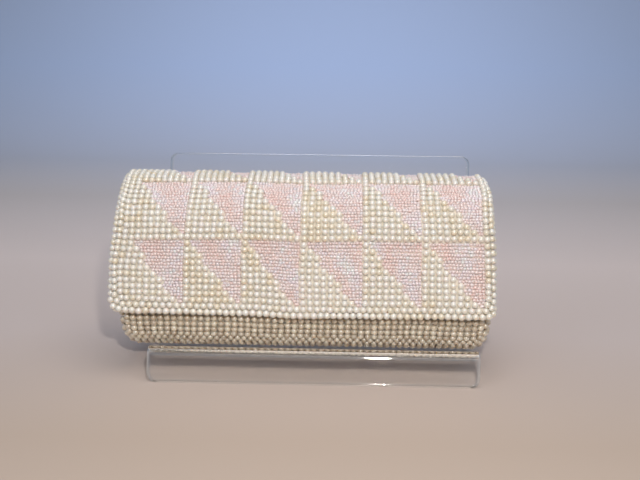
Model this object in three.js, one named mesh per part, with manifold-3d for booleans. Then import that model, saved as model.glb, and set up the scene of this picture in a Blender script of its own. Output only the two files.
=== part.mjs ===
// A pearl-beaded clutch bag with its flap closed, leaning on a bent acrylic display stand.
// Millimetres, +Z up, the front faces -Y. The bag and stand are modelled upright in a panel frame
// (across the bag, forward of the stand's back panel, up from its ledge) and tilted as one.
import * as THREE from 'three';
import { mergeVertices } from 'three/addons/utils/BufferGeometryUtils.js';
import Module from 'manifold-3d';

const wasm = await Module();
wasm.setup();

// Driving dimensions of the bag
const FLAP_LENGTH = 240;
const POUCH_LENGTH = 234;
const POUCH_SHIFT = 1.5;
const BAG_HEIGHT = 114;
const BAG_DEPTH = 60;
const TOP_DRAW = 2.8;
const HINGE_HEIGHT = 91;
const CREST_DEPTH = 22.5;
const SHOULDER_HEIGHT = 73;
const FLAP_EDGE_HEIGHT = 20.5;
const MOUTH_HEIGHT = 93;
const BACK_CORNER_DEPTH = 15;
const BACK_CORNER_HEIGHT = 16;
const FRONT_CORNER_DEPTH = 23.5;
const FRONT_CORNER_HEIGHT = 24;
const END_ROUNDING = 12;
const FLAP_END_ROUNDING = 10;
const FLAP_END_ROLL = 7;
const EDGE_SAG = 2.4;
const EDGE_SAG_REACH = 48;
const FABRIC = 2;
const CLEARANCE = 0.3;

// Beads
const PEARL = 3.9;
const SEED_BEAD = 2.2;
const PEARL_SIDES = 10;
const THREAD = 1;
const SNAP_DIAMETER = 14;
const SNAP_HEIGHT = 38;

// Pattern of the flap, counted in pearls across and in rows up from its lower edge
const SQUARES = 6;
const BANDS = 3;
const SQUARE_PEARLS = 9;
const TRIANGLE_ROWS = 10;
const FIRST_ROW_PEARLS = 1;
const LAST_ROW_PEARLS = 8.1;
const LEFT_BORDER_PEARLS = 2;
const RIGHT_BORDER_PEARLS = 2;
const BACK_BORDER_ROWS = 4;

// Driving dimensions of the stand
const STAND_WIDTH = 203;
const STAND_SHIFT = 8;
const STAND_SHEET = 3;
const STAND_BEND_RADIUS = 3;
const STAND_TILT = THREE.MathUtils.degToRad(18.3);
const LEDGE_DEPTH = 60;
const BACK_PANEL_HEIGHT = 129;
const BACK_PANEL_CORNER = 5;
const LEG_CORNER = 6;

// How full a rounded corner is: 2 is a true ellipse, less is flatter
const SHOULDER_FULLNESS = 1.72;
const FRONT_CORNER_FULLNESS = 1.85;
const ELLIPSE = 2;

// Sampling of the curved surfaces
const FINE_STEPS = 48;
const MOST_TURN = THREE.MathUtils.degToRad(13);
const LONGEST_STEP = 40;
const END_STEPS = 3;
const END_TOP_STEPS = 6;
const CLOTH_COLUMNS = [-0.45, -0.08, 0.07, 0.45];
const FLAT_BAND_STEPS = 3;
const CURVED_BAND_STEPS = 5;
const ROLL_MIDDLE = 0.45;
const MOST_ROLL = 0.9;
const SNAP_SIDES = 20;
const BEND_SEGMENTS = 6;

// How far the flap's lower edge hangs at points along it, as shares of half its length and EDGE_SAG
const EDGE_LINE = [
  { along: -1, drop: -0.6 },
  { along: -0.955, drop: -0.05 },
  { along: -0.9, drop: 0 },
  { along: -0.45, drop: 0.38 },
  { along: -0.15, drop: 0.56 },
  { along: -0.08, drop: 0.9 },
  { along: 0.07, drop: 1 },
  { along: 0.3, drop: 0.4 },
  { along: 0.9, drop: 0.4 },
  { along: 0.96, drop: 0.3 },
  { along: 1, drop: -0.3 },
];

// The rings of one round bead along its thread, as shares of its diameter and of its girth
const BEAD_RINGS = [
  { along: -0.32, girth: 0.77 },
  { along: 0, girth: 1 },
  { along: 0.32, girth: 0.77 },
];
const BEAD_TIP = 0.2;

const FLAP_THICKNESS = PEARL + CLEARANCE + FABRIC;
const POUCH_DEPTH = BAG_DEPTH - FLAP_THICKNESS - CLEARANCE;
const FLAP_PEARLS = SQUARES * SQUARE_PEARLS + LEFT_BORDER_PEARLS + RIGHT_BORDER_PEARLS;
const COLUMN_PITCH = FLAP_LENGTH / FLAP_PEARLS;
const FIRST_ROW_START = PEARL + CLEARANCE;

// Half the length at a given height: the bag draws in towards its crest
function halfLength(length, up) {
  const start = BAG_HEIGHT / 2;
  const share = Math.max(0, (up - start) / (BAG_HEIGHT - start));
  return length / 2 - TOP_DRAW * share ** 1.5;
}

// A rounded corner as points from its start to its end, each given in shares of its two radii
function cornerPoints(fullness, place) {
  const points = [];
  for (let step = 0; step <= FINE_STEPS; step += 1) {
    const angle = (Math.PI / 2) * (step / FINE_STEPS);
    const power = 2 / fullness;
    points.push(place(Math.max(0, Math.sin(angle)) ** power, Math.max(0, Math.cos(angle)) ** power));
  }
  return points;
}

// A section line of the bag: points in the plane of depth (forward) and height, with their normals
class Outline {
  constructor(points) {
    this.points = points.filter((point, i) => i === 0 || point.distanceTo(points[i - 1]) > 1e-4);
    this.lengths = [0];
    for (let i = 1; i < this.points.length; i += 1) {
      this.lengths.push(this.lengths[i - 1] + this.points[i].distanceTo(this.points[i - 1]));
    }
    this.length = this.lengths.at(-1);
    this.normals = this.points.map((point, i) => {
      const before = this.points[Math.max(0, i - 1)];
      const after = this.points[Math.min(this.points.length - 1, i + 1)];
      const along = after.clone().sub(before).normalize();
      return new THREE.Vector2(along.y, -along.x);
    });
  }

  // The point and outward normal at a length from the start
  at(length) {
    const wanted = THREE.MathUtils.clamp(length, 0, this.length);
    let i = 1;
    while (i < this.lengths.length - 1 && this.lengths[i] < wanted) i += 1;
    const share = (wanted - this.lengths[i - 1]) / (this.lengths[i] - this.lengths[i - 1]);
    return {
      point: this.points[i - 1].clone().lerp(this.points[i], share),
      normal: this.normals[i - 1].clone().lerp(this.normals[i], share).normalize(),
    };
  }

  // Few places along the line, closer together where it bends
  stations() {
    const places = [this.at(0)];
    let last = 0;
    for (let i = 1; i < this.points.length - 1; i += 1) {
      const turn = Math.abs(this.normals[i].angleTo(places.at(-1).normal));
      const bendsSoon = this.normals[i + 1].angleTo(this.normals[i]) > 1e-3;
      const startsBend = bendsSoon && turn < 1e-3 && this.lengths[i] - last > 1;
      if (turn > MOST_TURN || this.lengths[i] - last > LONGEST_STEP || startsBend) {
        places.push(this.at(this.lengths[i]));
        last = this.lengths[i];
      }
    }
    places.push(this.at(this.length));
    return places;
  }
}

const pointAt = (depth, height) => new THREE.Vector2(depth, height);

// The flap's outer line, from its lower edge at the front, over the crest, to the hinge at the back
function flapOutline() {
  const frontDepth = BAG_DEPTH - CREST_DEPTH;
  const frontRise = BAG_HEIGHT - SHOULDER_HEIGHT;
  const backRise = BAG_HEIGHT - HINGE_HEIGHT;
  const shoulder = cornerPoints(SHOULDER_FULLNESS, (rising, falling) => (
    pointAt(CREST_DEPTH + frontDepth * falling, SHOULDER_HEIGHT + frontRise * rising)
  ));
  const back = cornerPoints(ELLIPSE, (rising, falling) => (
    pointAt(CREST_DEPTH * (1 - rising), HINGE_HEIGHT + backRise * falling)
  ));
  return new Outline([pointAt(BAG_DEPTH, FLAP_EDGE_HEIGHT), ...shoulder, ...back]);
}

// The line close under the flap, from its lower edge over the crest to the hinge
function underFlapPoints(flap) {
  const points = [];
  for (let step = 0; step <= 2 * FINE_STEPS; step += 1) {
    const { point, normal } = flap.at(flap.length * (step / (2 * FINE_STEPS)));
    points.push(point.addScaledVector(normal, -(FLAP_THICKNESS + CLEARANCE)));
  }
  return points;
}

// The pouch's outer line, from the hinge down the back, along the bottom and up to the front rim
function pouchOutline(underFlap) {
  const backCorner = cornerPoints(ELLIPSE, (rising, falling) => (
    pointAt(BACK_CORNER_DEPTH * (1 - falling), BACK_CORNER_HEIGHT * (1 - rising))
  ));
  const frontCorner = cornerPoints(FRONT_CORNER_FULLNESS, (rising, falling) => pointAt(
    POUCH_DEPTH - FRONT_CORNER_DEPTH * (1 - rising),
    FRONT_CORNER_HEIGHT * (1 - falling),
  ));
  const front = underFlap.filter((point) => point.y > FRONT_CORNER_HEIGHT);
  return new Outline([pointAt(0, HINGE_HEIGHT), ...backCorner, ...frontCorner, ...front]);
}

const FLAP = flapOutline();
const UNDER_FLAP = underFlapPoints(FLAP);
const RIM = UNDER_FLAP.findIndex((point) => point.y > MOUTH_HEIGHT);
const POUCH = pouchOutline(UNDER_FLAP.slice(0, RIM));
const POUCH_END_TOP = new Outline(UNDER_FLAP.slice(RIM - 1));
const ROW_PITCH = (FLAP.length - FIRST_ROW_START) / (BANDS * (TRIANGLE_ROWS + 1) + BACK_BORDER_ROWS);

// From across, forward and up in the panel frame to the model's axes before the tilt
const inPanel = (across, forward, up) => new THREE.Vector3(across, -forward, up);

// A curved sheet: places that know where they lie at each depth below the outer surface
class Sheet {
  constructor() {
    this.places = [];
    this.known = new Map();
    this.triangles = [];
  }

  place(key, at) {
    if (!this.known.has(key)) {
      this.known.set(key, this.places.length);
      this.places.push(at);
    }
    return this.known.get(key);
  }

  triangle(a, b, c) {
    if (a !== b && b !== c && c !== a) this.triangles.push([a, b, c]);
  }

  // Fills the strip between two rows of places, both running to the right
  strip(lower, upper, spreadLower, spreadUpper) {
    let i = 0;
    let j = 0;
    while (i < lower.length - 1 || j < upper.length - 1) {
      const nextLower = i < lower.length - 1 ? spreadLower[i + 1] : Infinity;
      const nextUpper = j < upper.length - 1 ? spreadUpper[j + 1] : Infinity;
      if (nextLower <= nextUpper) {
        this.triangle(lower[i], lower[i + 1], upper[j]);
        i += 1;
      } else {
        this.triangle(lower[i], upper[j + 1], upper[j]);
        j += 1;
      }
    }
  }

  // The closed solid between two depths, walled along every free edge
  solid(outerDepth, innerDepth) {
    const count = this.places.length;
    const position = [];
    for (const depth of [outerDepth, innerDepth]) {
      for (const at of this.places) position.push(...at(depth).toArray());
    }
    const index = [];
    const free = new Map();
    for (const corners of this.triangles) {
      index.push(...corners, corners[2] + count, corners[1] + count, corners[0] + count);
      corners.forEach((from, k) => {
        const to = corners[(k + 1) % 3];
        if (!free.delete(`${to} ${from}`)) free.set(`${from} ${to}`, [from, to]);
      });
    }
    for (const [from, to] of free.values()) {
      index.push(from, from + count, to + count, from, to + count, to);
    }
    const geometry = new THREE.BufferGeometry();
    geometry.setAttribute('position', new THREE.Float32BufferAttribute(position, 3));
    geometry.setIndex(index);
    return geometry;
  }
}

// Where the pouch's end panels close over the top, under the flap, they leave it a shelf at the hinge
function pouchStations() {
  const shelfCorner = new THREE.Vector2(-1, 1);
  const wall = POUCH.stations();
  const over = [];
  for (let step = 1; step <= END_TOP_STEPS; step += 1) {
    over.push(POUCH_END_TOP.at(POUCH_END_TOP.length * (step / END_TOP_STEPS)));
  }
  over.at(-1).normal = shelfCorner;
  const hinge = { point: wall[0].point, normal: shelfCorner };
  return { wall, closed: [hinge, ...wall.slice(1), ...over] };
}

// The pouch as a sheet: a tub with rounded ends, open at the mouth between them
function pouchSheet() {
  const sheet = new Sheet();
  const { wall, closed } = pouchStations();
  const lines = [];
  for (let step = END_STEPS; step >= 0; step -= 1) lines.push({ side: -1, turn: step / END_STEPS });
  lines.push({ side: 0, turn: 0 });
  for (let step = 0; step <= END_STEPS; step += 1) lines.push({ side: 1, turn: step / END_STEPS });

  const grid = lines.map(({ side, turn }, i) => (turn > 0 ? closed : wall).map(
    ({ point, normal }, j) => sheet.place(`grid ${i} ${j}`, (depth) => {
      const angle = (Math.PI / 2) * turn;
      const inset = END_ROUNDING - (END_ROUNDING - depth) * Math.cos(angle);
      const reach = halfLength(POUCH_LENGTH, point.y) - END_ROUNDING;
      const across = side * (reach + (END_ROUNDING - depth) * Math.sin(angle));
      const place = point.clone().addScaledVector(normal, -inset);
      return inPanel(POUCH_SHIFT + across, place.x, place.y);
    }),
  ));
  for (let i = 0; i < lines.length - 1; i += 1) {
    const inEnd = lines[i].turn > 0 && lines[i + 1].turn > 0;
    const strips = inEnd ? closed.length : wall.length - 1;
    for (let j = 0; j < strips; j += 1) {
      const next = (j + 1) % closed.length;
      sheet.triangle(grid[i][j], grid[i + 1][j], grid[i + 1][next]);
      sheet.triangle(grid[i][j], grid[i + 1][next], grid[i][next]);
    }
  }
  closeEnd(sheet, grid[0].slice().reverse(), -1);
  closeEnd(sheet, grid.at(-1), 1);
  return sheet;
}

// One flat end panel of the pouch, fanned from its middle
function closeEnd(sheet, loop, side) {
  const centre = pointAt(POUCH_DEPTH / 2, BAG_HEIGHT / 2);
  const middle = sheet.place(`end ${side}`, (depth) => inPanel(
    POUCH_SHIFT + side * (halfLength(POUCH_LENGTH, centre.y) - depth),
    centre.x,
    centre.y,
  ));
  loop.forEach((from, k) => sheet.triangle(middle, loop[(k + 1) % loop.length], from));
}

// How far the flap hangs or lifts at a place across it, fading out up the flap
function edgeDrop(across, up) {
  const share = THREE.MathUtils.clamp(across, -1, 1);
  let i = 1;
  while (i < EDGE_LINE.length - 1 && EDGE_LINE[i].along < share) i += 1;
  const from = EDGE_LINE[i - 1];
  const to = EDGE_LINE[i];
  const part = (share - from.along) / (to.along - from.along);
  const fade = Math.max(0, 1 - up / EDGE_SAG_REACH);
  return EDGE_SAG * THREE.MathUtils.lerp(from.drop, to.drop, part) * fade;
}

// A place on the flap: across as a share of its half length, up along it from its lower edge
function flapPlace(across, up, depth) {
  const { point, normal } = FLAP.at(up);
  const half = halfLength(FLAP_LENGTH, point.y);
  const fromEnd = (1 - Math.abs(across)) * half;
  const sine = Math.max(0, FLAP_END_ROLL - fromEnd) / FLAP_END_ROUNDING;
  const cosine = Math.sqrt(1 - sine * sine);
  const inset = FLAP_END_ROUNDING - (FLAP_END_ROUNDING - depth) * cosine;
  const rolled = half - FLAP_END_ROLL + (FLAP_END_ROUNDING - depth) * sine;
  const flat = Math.abs(across) * half;
  const reach = Math.sign(across) * (sine > 0 ? rolled : flat);
  const place = point.addScaledVector(normal, -inset);
  return inPanel(reach, place.x, place.y - edgeDrop(across, up));
}

// Columns of the pattern as shares of the flap's half length
const columnShare = (pearls) => (2 * pearls) / FLAP_PEARLS - 1;
const squareStart = (square) => LEFT_BORDER_PEARLS + square * SQUARE_PEARLS;
const rollShare = Math.min(FLAP_END_ROLL / COLUMN_PITCH, LEFT_BORDER_PEARLS * MOST_ROLL);
const rollPearls = [0, rollShare * ROLL_MIDDLE, rollShare];
const LEFT_EDGE = rollPearls.map(columnShare);
const RIGHT_EDGE = rollPearls.map((pearls) => columnShare(FLAP_PEARLS - pearls)).reverse();
const leaning = (fall) => THREE.MathUtils.lerp(FIRST_ROW_PEARLS, LAST_ROW_PEARLS, fall);
const bandStart = (band) => FIRST_ROW_START + band * (TRIANGLE_ROWS + 1) * ROW_PITCH;

// Places up the flap that split a band's triangles finely enough for the curve there
function bandSteps(band) {
  const steps = band === 0 ? FLAT_BAND_STEPS : CURVED_BAND_STEPS;
  const low = bandStart(band) + ROW_PITCH;
  const high = bandStart(band + 1);
  const places = [];
  for (let step = 0; step <= steps; step += 1) {
    const fall = 1 - step / steps;
    places.push({ fall, up: THREE.MathUtils.lerp(high, low, fall) });
  }
  return places;
}

// Adds the strip of flap between two heights, from lists of places across
function flapStrip(sheet, lowUp, lowAcross, highUp, highAcross) {
  const row = (up, list) => list.map((across) => (
    sheet.place(`${across.toFixed(5)} ${up.toFixed(4)}`, (depth) => flapPlace(across, up, depth))
  ));
  sheet.strip(row(lowUp, lowAcross), row(highUp, highAcross), lowAcross, highAcross);
}

// The runs of pearls between the seed-bead panels at one height of a band
function pearlRuns(fall) {
  const runs = [];
  for (let square = 0; square < SQUARES; square += 1) {
    const start = columnShare(squareStart(square));
    const end = columnShare(squareStart(square) + leaning(fall));
    runs.push(square === 0 ? [...LEFT_EDGE, end] : [start, end]);
  }
  runs.push([columnShare(squareStart(SQUARES)), ...RIGHT_EDGE]);
  return runs;
}

// The flap's pearl field, with a window for each seed-bead panel
function flapPearlSheet() {
  const sheet = new Sheet();
  let lower = [...LEFT_EDGE];
  for (let square = 0; square < SQUARES; square += 1) {
    lower.push(columnShare(squareStart(square) + SQUARE_PEARLS / 2), columnShare(squareStart(square + 1)));
  }
  lower.push(...RIGHT_EDGE);
  for (let band = 0; band < BANDS; band += 1) {
    const steps = bandSteps(band);
    flapStrip(sheet, bandStart(band), lower, steps[0].up, pearlRuns(steps[0].fall).flat());
    for (let k = 1; k < steps.length; k += 1) {
      const below = pearlRuns(steps[k - 1].fall);
      const above = pearlRuns(steps[k].fall);
      below.forEach((run, r) => flapStrip(sheet, steps[k - 1].up, run, steps[k].up, above[r]));
    }
    lower = pearlRuns(steps.at(-1).fall).flat();
  }
  const backStart = bandStart(BANDS);
  const backMiddle = (backStart + FLAP.length) / 2;
  const plain = [...LEFT_EDGE, 0, ...RIGHT_EDGE];
  flapStrip(sheet, backStart, lower, backMiddle, plain);
  flapStrip(sheet, backMiddle, plain, FLAP.length - CLEARANCE, plain);
  return sheet;
}

// The flap's fabric: one plain sheet behind the beads, bent at the same heights as they are
function flapClothSheet() {
  const sheet = new Sheet();
  const across = [...LEFT_EDGE, ...CLOTH_COLUMNS, ...RIGHT_EDGE];
  const heights = [CLEARANCE, FIRST_ROW_START];
  for (let band = 0; band < BANDS; band += 1) heights.push(...bandSteps(band).map(({ up }) => up));
  heights.push((bandStart(BANDS) + FLAP.length) / 2, FLAP.length - CLEARANCE);
  for (let k = 1; k < heights.length; k += 1) {
    flapStrip(sheet, heights[k - 1], across, heights[k], across);
  }
  return sheet;
}

// One seed-bead panel: the upper right half of a square, clear of the pearls round it
function seedPanelSheet(band, square) {
  const sheet = new Sheet();
  const side = CLEARANCE / COLUMN_PITCH;
  const slope = side * Math.SQRT2;
  const steps = bandSteps(band);
  const rows = steps.map(({ fall, up }, k) => {
    const shift = (k === 0 ? CLEARANCE : 0) - (k === steps.length - 1 ? CLEARANCE : 0);
    const start = squareStart(square) + leaning(fall) + slope;
    const end = squareStart(square + 1) - side;
    return { up: up + shift, list: [columnShare(start), columnShare(end)] };
  });
  for (let k = 1; k < rows.length; k += 1) {
    flapStrip(sheet, rows[k - 1].up, rows[k - 1].list, rows[k].up, rows[k].list);
  }
  return sheet;
}

// The string of pearls along the flap's lower edge: round beads on one thread
function edgeString() {
  const rings = [];
  const start = columnShare(0.5);
  const end = columnShare(FLAP_PEARLS - 0.5);
  const centreAt = (bead) => (
    flapPlace(THREE.MathUtils.lerp(start, end, bead / (FLAP_PEARLS - 1)), PEARL / 2, PEARL / 2)
  );
  for (let bead = 0; bead < FLAP_PEARLS; bead += 1) {
    const centre = centreAt(bead);
    const before = centreAt(Math.max(0, bead - 1));
    const after = centreAt(Math.min(FLAP_PEARLS - 1, bead + 1));
    const along = after.clone().sub(before).normalize();
    if (bead > 0) {
      rings.push({ centre: centre.clone().add(before).multiplyScalar(0.5), along, radius: THREAD / 2 });
    }
    for (const { along: share, girth } of BEAD_RINGS) {
      rings.push({
        centre: centre.clone().addScaledVector(along, share * PEARL),
        along,
        radius: (PEARL / 2) * girth,
      });
    }
  }
  return ringTube(rings, PEARL * BEAD_TIP);
}

// A closed tube through rings of changing radius, with a pointed cap at each end
function ringTube(rings, capLength) {
  const position = [];
  const index = [];
  const up = new THREE.Vector3(0, 0, 1);
  for (const { centre, along, radius } of rings) {
    const side = new THREE.Vector3().crossVectors(up, along).normalize();
    const top = new THREE.Vector3().crossVectors(along, side);
    for (let k = 0; k < PEARL_SIDES; k += 1) {
      const angle = (2 * Math.PI * k) / PEARL_SIDES;
      const point = centre.clone()
        .addScaledVector(side, radius * Math.cos(angle))
        .addScaledVector(top, radius * Math.sin(angle));
      position.push(...point.toArray());
    }
  }
  const first = rings[0];
  const last = rings.at(-1);
  position.push(...first.centre.clone().addScaledVector(first.along, -capLength).toArray());
  position.push(...last.centre.clone().addScaledVector(last.along, capLength).toArray());
  const startTip = rings.length * PEARL_SIDES;
  const lastRing = startTip - PEARL_SIDES;
  for (let k = 0; k < PEARL_SIDES; k += 1) {
    const next = (k + 1) % PEARL_SIDES;
    for (let ring = 0; ring < rings.length - 1; ring += 1) {
      const a = ring * PEARL_SIDES;
      const b = a + PEARL_SIDES;
      index.push(a + k, a + next, b + next, a + k, b + next, b + k);
    }
    index.push(startTip, next, k, startTip + 1, lastRing + k, lastRing + next);
  }
  const geometry = new THREE.BufferGeometry();
  geometry.setAttribute('position', new THREE.Float32BufferAttribute(position, 3));
  geometry.setIndex(index);
  return geometry;
}

// Joining and cutting of closed meshes
function toManifold(geometry) {
  const bare = geometry.clone();
  bare.deleteAttribute('normal');
  bare.deleteAttribute('uv');
  const merged = mergeVertices(bare, 1e-5);
  const vertProperties = new Float32Array(merged.attributes.position.array);
  const triVerts = new Uint32Array(merged.index.array);
  return new wasm.Manifold(new wasm.Mesh({ numProp: 3, vertProperties, triVerts }));
}

function fromManifold(manifold) {
  const mesh = manifold.getMesh();
  const geometry = new THREE.BufferGeometry();
  geometry.setAttribute('position', new THREE.BufferAttribute(mesh.vertProperties, 3));
  geometry.setIndex(new THREE.BufferAttribute(mesh.triVerts, 1));
  return geometry;
}

// A disc that faces forward, centred across the pouch
function forwardDisc(diameter, backDepth, frontDepth) {
  const radius = diameter / 2;
  const disc = new THREE.CylinderGeometry(radius, radius, frontDepth - backDepth, SNAP_SIDES);
  return disc.translate(POUCH_SHIFT, -(frontDepth + backDepth) / 2, SNAP_HEIGHT);
}

// The pouch's pearl field leaves a round seat for the snap
function pouchPearls(sheet) {
  const field = toManifold(sheet.solid(0, PEARL));
  const seat = toManifold(forwardDisc(
    SNAP_DIAMETER + 2 * CLEARANCE,
    POUCH_DEPTH - PEARL - CLEARANCE,
    POUCH_DEPTH + CLEARANCE,
  ));
  return fromManifold(field.subtract(seat));
}

// The stand's section: leg, ledge and back panel of one bent sheet, resting on leg end and rear bend
function standGeometry() {
  const bend = STAND_BEND_RADIUS;
  const outer = STAND_BEND_RADIUS + STAND_SHEET;
  const lowest = bend * (Math.sin(STAND_TILT) + Math.cos(STAND_TILT)) - outer;
  const legEnd = (forward) => (lowest - forward * Math.sin(STAND_TILT)) / Math.cos(STAND_TILT);
  const quarter = Math.PI / 2;
  const floorward = 3 * quarter - STAND_TILT;

  const section = new THREE.Shape();
  section.moveTo(0, BACK_PANEL_HEIGHT);
  section.lineTo(-STAND_SHEET, BACK_PANEL_HEIGHT);
  section.absarc(bend, bend, outer, 2 * quarter, floorward, false);
  section.absarc(bend, bend, outer, floorward, 3 * quarter, false);
  section.absarc(LEDGE_DEPTH - outer, -outer, bend, quarter, 0, true);
  section.lineTo(LEDGE_DEPTH - STAND_SHEET, legEnd(LEDGE_DEPTH - STAND_SHEET));
  section.lineTo(LEDGE_DEPTH, legEnd(LEDGE_DEPTH));
  section.absarc(LEDGE_DEPTH - outer, -outer, outer, 0, quarter, false);
  section.absarc(bend, bend, bend, 3 * quarter, 2 * quarter, true);
  section.closePath();
  const bent = new THREE.ExtrudeGeometry(section, {
    depth: STAND_WIDTH, bevelEnabled: false, curveSegments: BEND_SEGMENTS, steps: 1,
  });
  bent.translate(0, 0, -STAND_WIDTH / 2);
  bent.applyMatrix4(new THREE.Matrix4().makeBasis(
    new THREE.Vector3(0, -1, 0),
    new THREE.Vector3(0, 0, 1),
    new THREE.Vector3(-1, 0, 0),
  ));

  const face = new THREE.Shape();
  const low = legEnd(LEDGE_DEPTH) - CLEARANCE;
  const side = STAND_WIDTH / 2;
  const topSide = side - BACK_PANEL_CORNER;
  const topCentre = BACK_PANEL_HEIGHT - BACK_PANEL_CORNER;
  const legSide = side - LEG_CORNER;
  face.absarc(topSide, topCentre, BACK_PANEL_CORNER, 0, quarter, false);
  face.absarc(-topSide, topCentre, BACK_PANEL_CORNER, quarter, 2 * quarter, false);
  face.absarc(-legSide, low + LEG_CORNER, LEG_CORNER, 2 * quarter, 3 * quarter, false);
  face.absarc(legSide, low + LEG_CORNER, LEG_CORNER, 3 * quarter, 4 * quarter, false);
  face.closePath();
  const rounded = new THREE.ExtrudeGeometry(face, {
    depth: 2 * LEDGE_DEPTH, bevelEnabled: false, curveSegments: BEND_SEGMENTS, steps: 1,
  });
  rounded.rotateX(quarter).translate(0, LEDGE_DEPTH / 2, 0);
  const stand = fromManifold(toManifold(bent).intersect(toManifold(rounded)));
  return stand.translate(STAND_SHIFT, CLEARANCE, -CLEARANCE);
}

// Materials
const ivoryPearl = { color: 0xcbbfb2, roughness: 0.28, metalness: 0 };
const pinkSeed = { color: 0xddc6c2, roughness: 0.22, metalness: 0 };
const ivorySatin = { color: 0xc9bdae, roughness: 0.8, metalness: 0 };
const steel = { color: 0xb9b6ae, roughness: 0.35, metalness: 1 };
const clearAcrylic = { color: 0xdfe6ea, roughness: 0.06, metalness: 0, transparent: true, opacity: 0.35 };

const assembly = new THREE.Group();

function addPart(name, geometry, finish) {
  geometry.computeVertexNormals();
  const mesh = new THREE.Mesh(geometry, new THREE.MeshStandardMaterial(finish));
  mesh.name = name;
  assembly.add(mesh);
}

const clothDepth = PEARL + CLEARANCE;
const pouch = pouchSheet();
addPart('pouch_cloth', pouch.solid(clothDepth, clothDepth + FABRIC), ivorySatin);
addPart('pouch_pearls', pouchPearls(pouch), ivoryPearl);
addPart('snap_clasp', forwardDisc(SNAP_DIAMETER, POUCH_DEPTH - PEARL, POUCH_DEPTH), steel);
addPart('flap_cloth', flapClothSheet().solid(clothDepth, clothDepth + FABRIC), ivorySatin);
addPart('flap_pearls', flapPearlSheet().solid(0, PEARL), ivoryPearl);
addPart('flap_edge_pearls', edgeString(), ivoryPearl);
for (let band = 0; band < BANDS; band += 1) {
  for (let square = 0; square < SQUARES; square += 1) {
    const panel = seedPanelSheet(band, square).solid(PEARL - SEED_BEAD, PEARL);
    addPart(`seed_panel_${band + 1}_${square + 1}`, panel, pinkSeed);
  }
}
addPart('display_stand', standGeometry(), clearAcrylic);

// The whole leans back with the stand and stands on the floor, centred over the origin
assembly.rotation.x = -STAND_TILT;
const clutch = new THREE.Group();
clutch.add(assembly);
clutch.updateMatrixWorld(true);
const extent = new THREE.Box3().setFromObject(clutch, true);
assembly.position.y = -(extent.min.y + extent.max.y) / 2;
assembly.position.z = -extent.min.z;

export default clutch;
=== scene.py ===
"""Looks of a pearl-beaded clutch bag that leans on a bent acrylic stand.

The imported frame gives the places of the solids. Each class below holds the sizes of one
sub-assembly in millimetres and builds the fine pieces that stand for those solids: single
beads sewn in rows, the satin of the flap and the heat-bent sheet of the stand.
"""

import logging
import math
from collections.abc import Iterable, Sequence
from dataclasses import dataclass, field
from enum import Enum
from functools import cached_property
from itertools import chain, product

import bpy
import numpy as np
from mathutils import Matrix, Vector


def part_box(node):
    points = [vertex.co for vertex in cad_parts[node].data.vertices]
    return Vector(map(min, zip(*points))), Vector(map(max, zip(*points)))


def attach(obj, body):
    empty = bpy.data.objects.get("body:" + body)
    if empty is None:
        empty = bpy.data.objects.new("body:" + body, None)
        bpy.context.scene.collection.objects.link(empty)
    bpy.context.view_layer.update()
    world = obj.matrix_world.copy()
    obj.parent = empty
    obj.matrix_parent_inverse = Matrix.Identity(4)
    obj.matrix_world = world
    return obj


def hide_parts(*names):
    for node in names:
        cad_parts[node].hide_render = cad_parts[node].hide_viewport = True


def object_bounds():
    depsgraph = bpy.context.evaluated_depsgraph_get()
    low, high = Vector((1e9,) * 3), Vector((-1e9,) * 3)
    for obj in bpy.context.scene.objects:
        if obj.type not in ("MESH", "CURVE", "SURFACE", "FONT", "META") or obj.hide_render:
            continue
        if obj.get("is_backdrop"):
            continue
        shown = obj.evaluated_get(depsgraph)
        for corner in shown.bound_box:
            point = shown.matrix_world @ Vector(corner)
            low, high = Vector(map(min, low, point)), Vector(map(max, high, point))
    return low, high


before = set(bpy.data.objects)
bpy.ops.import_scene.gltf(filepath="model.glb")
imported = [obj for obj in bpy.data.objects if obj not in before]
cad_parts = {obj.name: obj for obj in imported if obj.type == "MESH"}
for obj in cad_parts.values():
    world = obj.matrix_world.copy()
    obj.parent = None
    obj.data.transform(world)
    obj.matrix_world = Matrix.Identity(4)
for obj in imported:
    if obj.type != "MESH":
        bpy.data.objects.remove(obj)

CAD_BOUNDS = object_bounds()
MM = 0.001
# Millimetres under which two points of a line are one, and a height that counts as none
SAME_PLACE, NO_HEIGHT = 1e-4, 1e-9
BODY = "root"
# Name of the value from 0 to 1 that each vertex holds and its finish reads
SHARE = "share"
# Places of the flap's two outer strings of pearls in the lists of its border
INNER_RING, EDGE_RING = 1, 2
LOG = logging.getLogger("beaded_clutch")


class Slot(Enum):
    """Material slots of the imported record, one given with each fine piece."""

    PEARL = "faux_pearl"
    SEED = "seed_bead"
    SATIN = "satin_fabric"
    ACRYLIC = "clear_acrylic"


class Zone(Enum):
    """Parts of the pouch whose pearls are built together, each as finely as it is seen."""

    FRONT = "front"
    BACK = "back"
    BOTTOM = "bottom"
    ENDS = "ends"
    UNDER_FLAP = "under_flap"


def to_linear(colour: str) -> tuple[float, float, float, float]:
    """Turns an sRGB hex colour to the linear values that shaders take.

    Args:
        colour: Six hex digits after a hash sign.

    Returns:
        Linear red, green and blue, and full opacity.
    """
    parts = [int(colour[i : i + 2], 16) / 255 for i in (1, 3, 5)]
    linear = [c / 12.92 if c <= 0.04045 else ((c + 0.055) / 1.055) ** 2.4 for c in parts]
    return linear[0], linear[1], linear[2], 1.0


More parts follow.
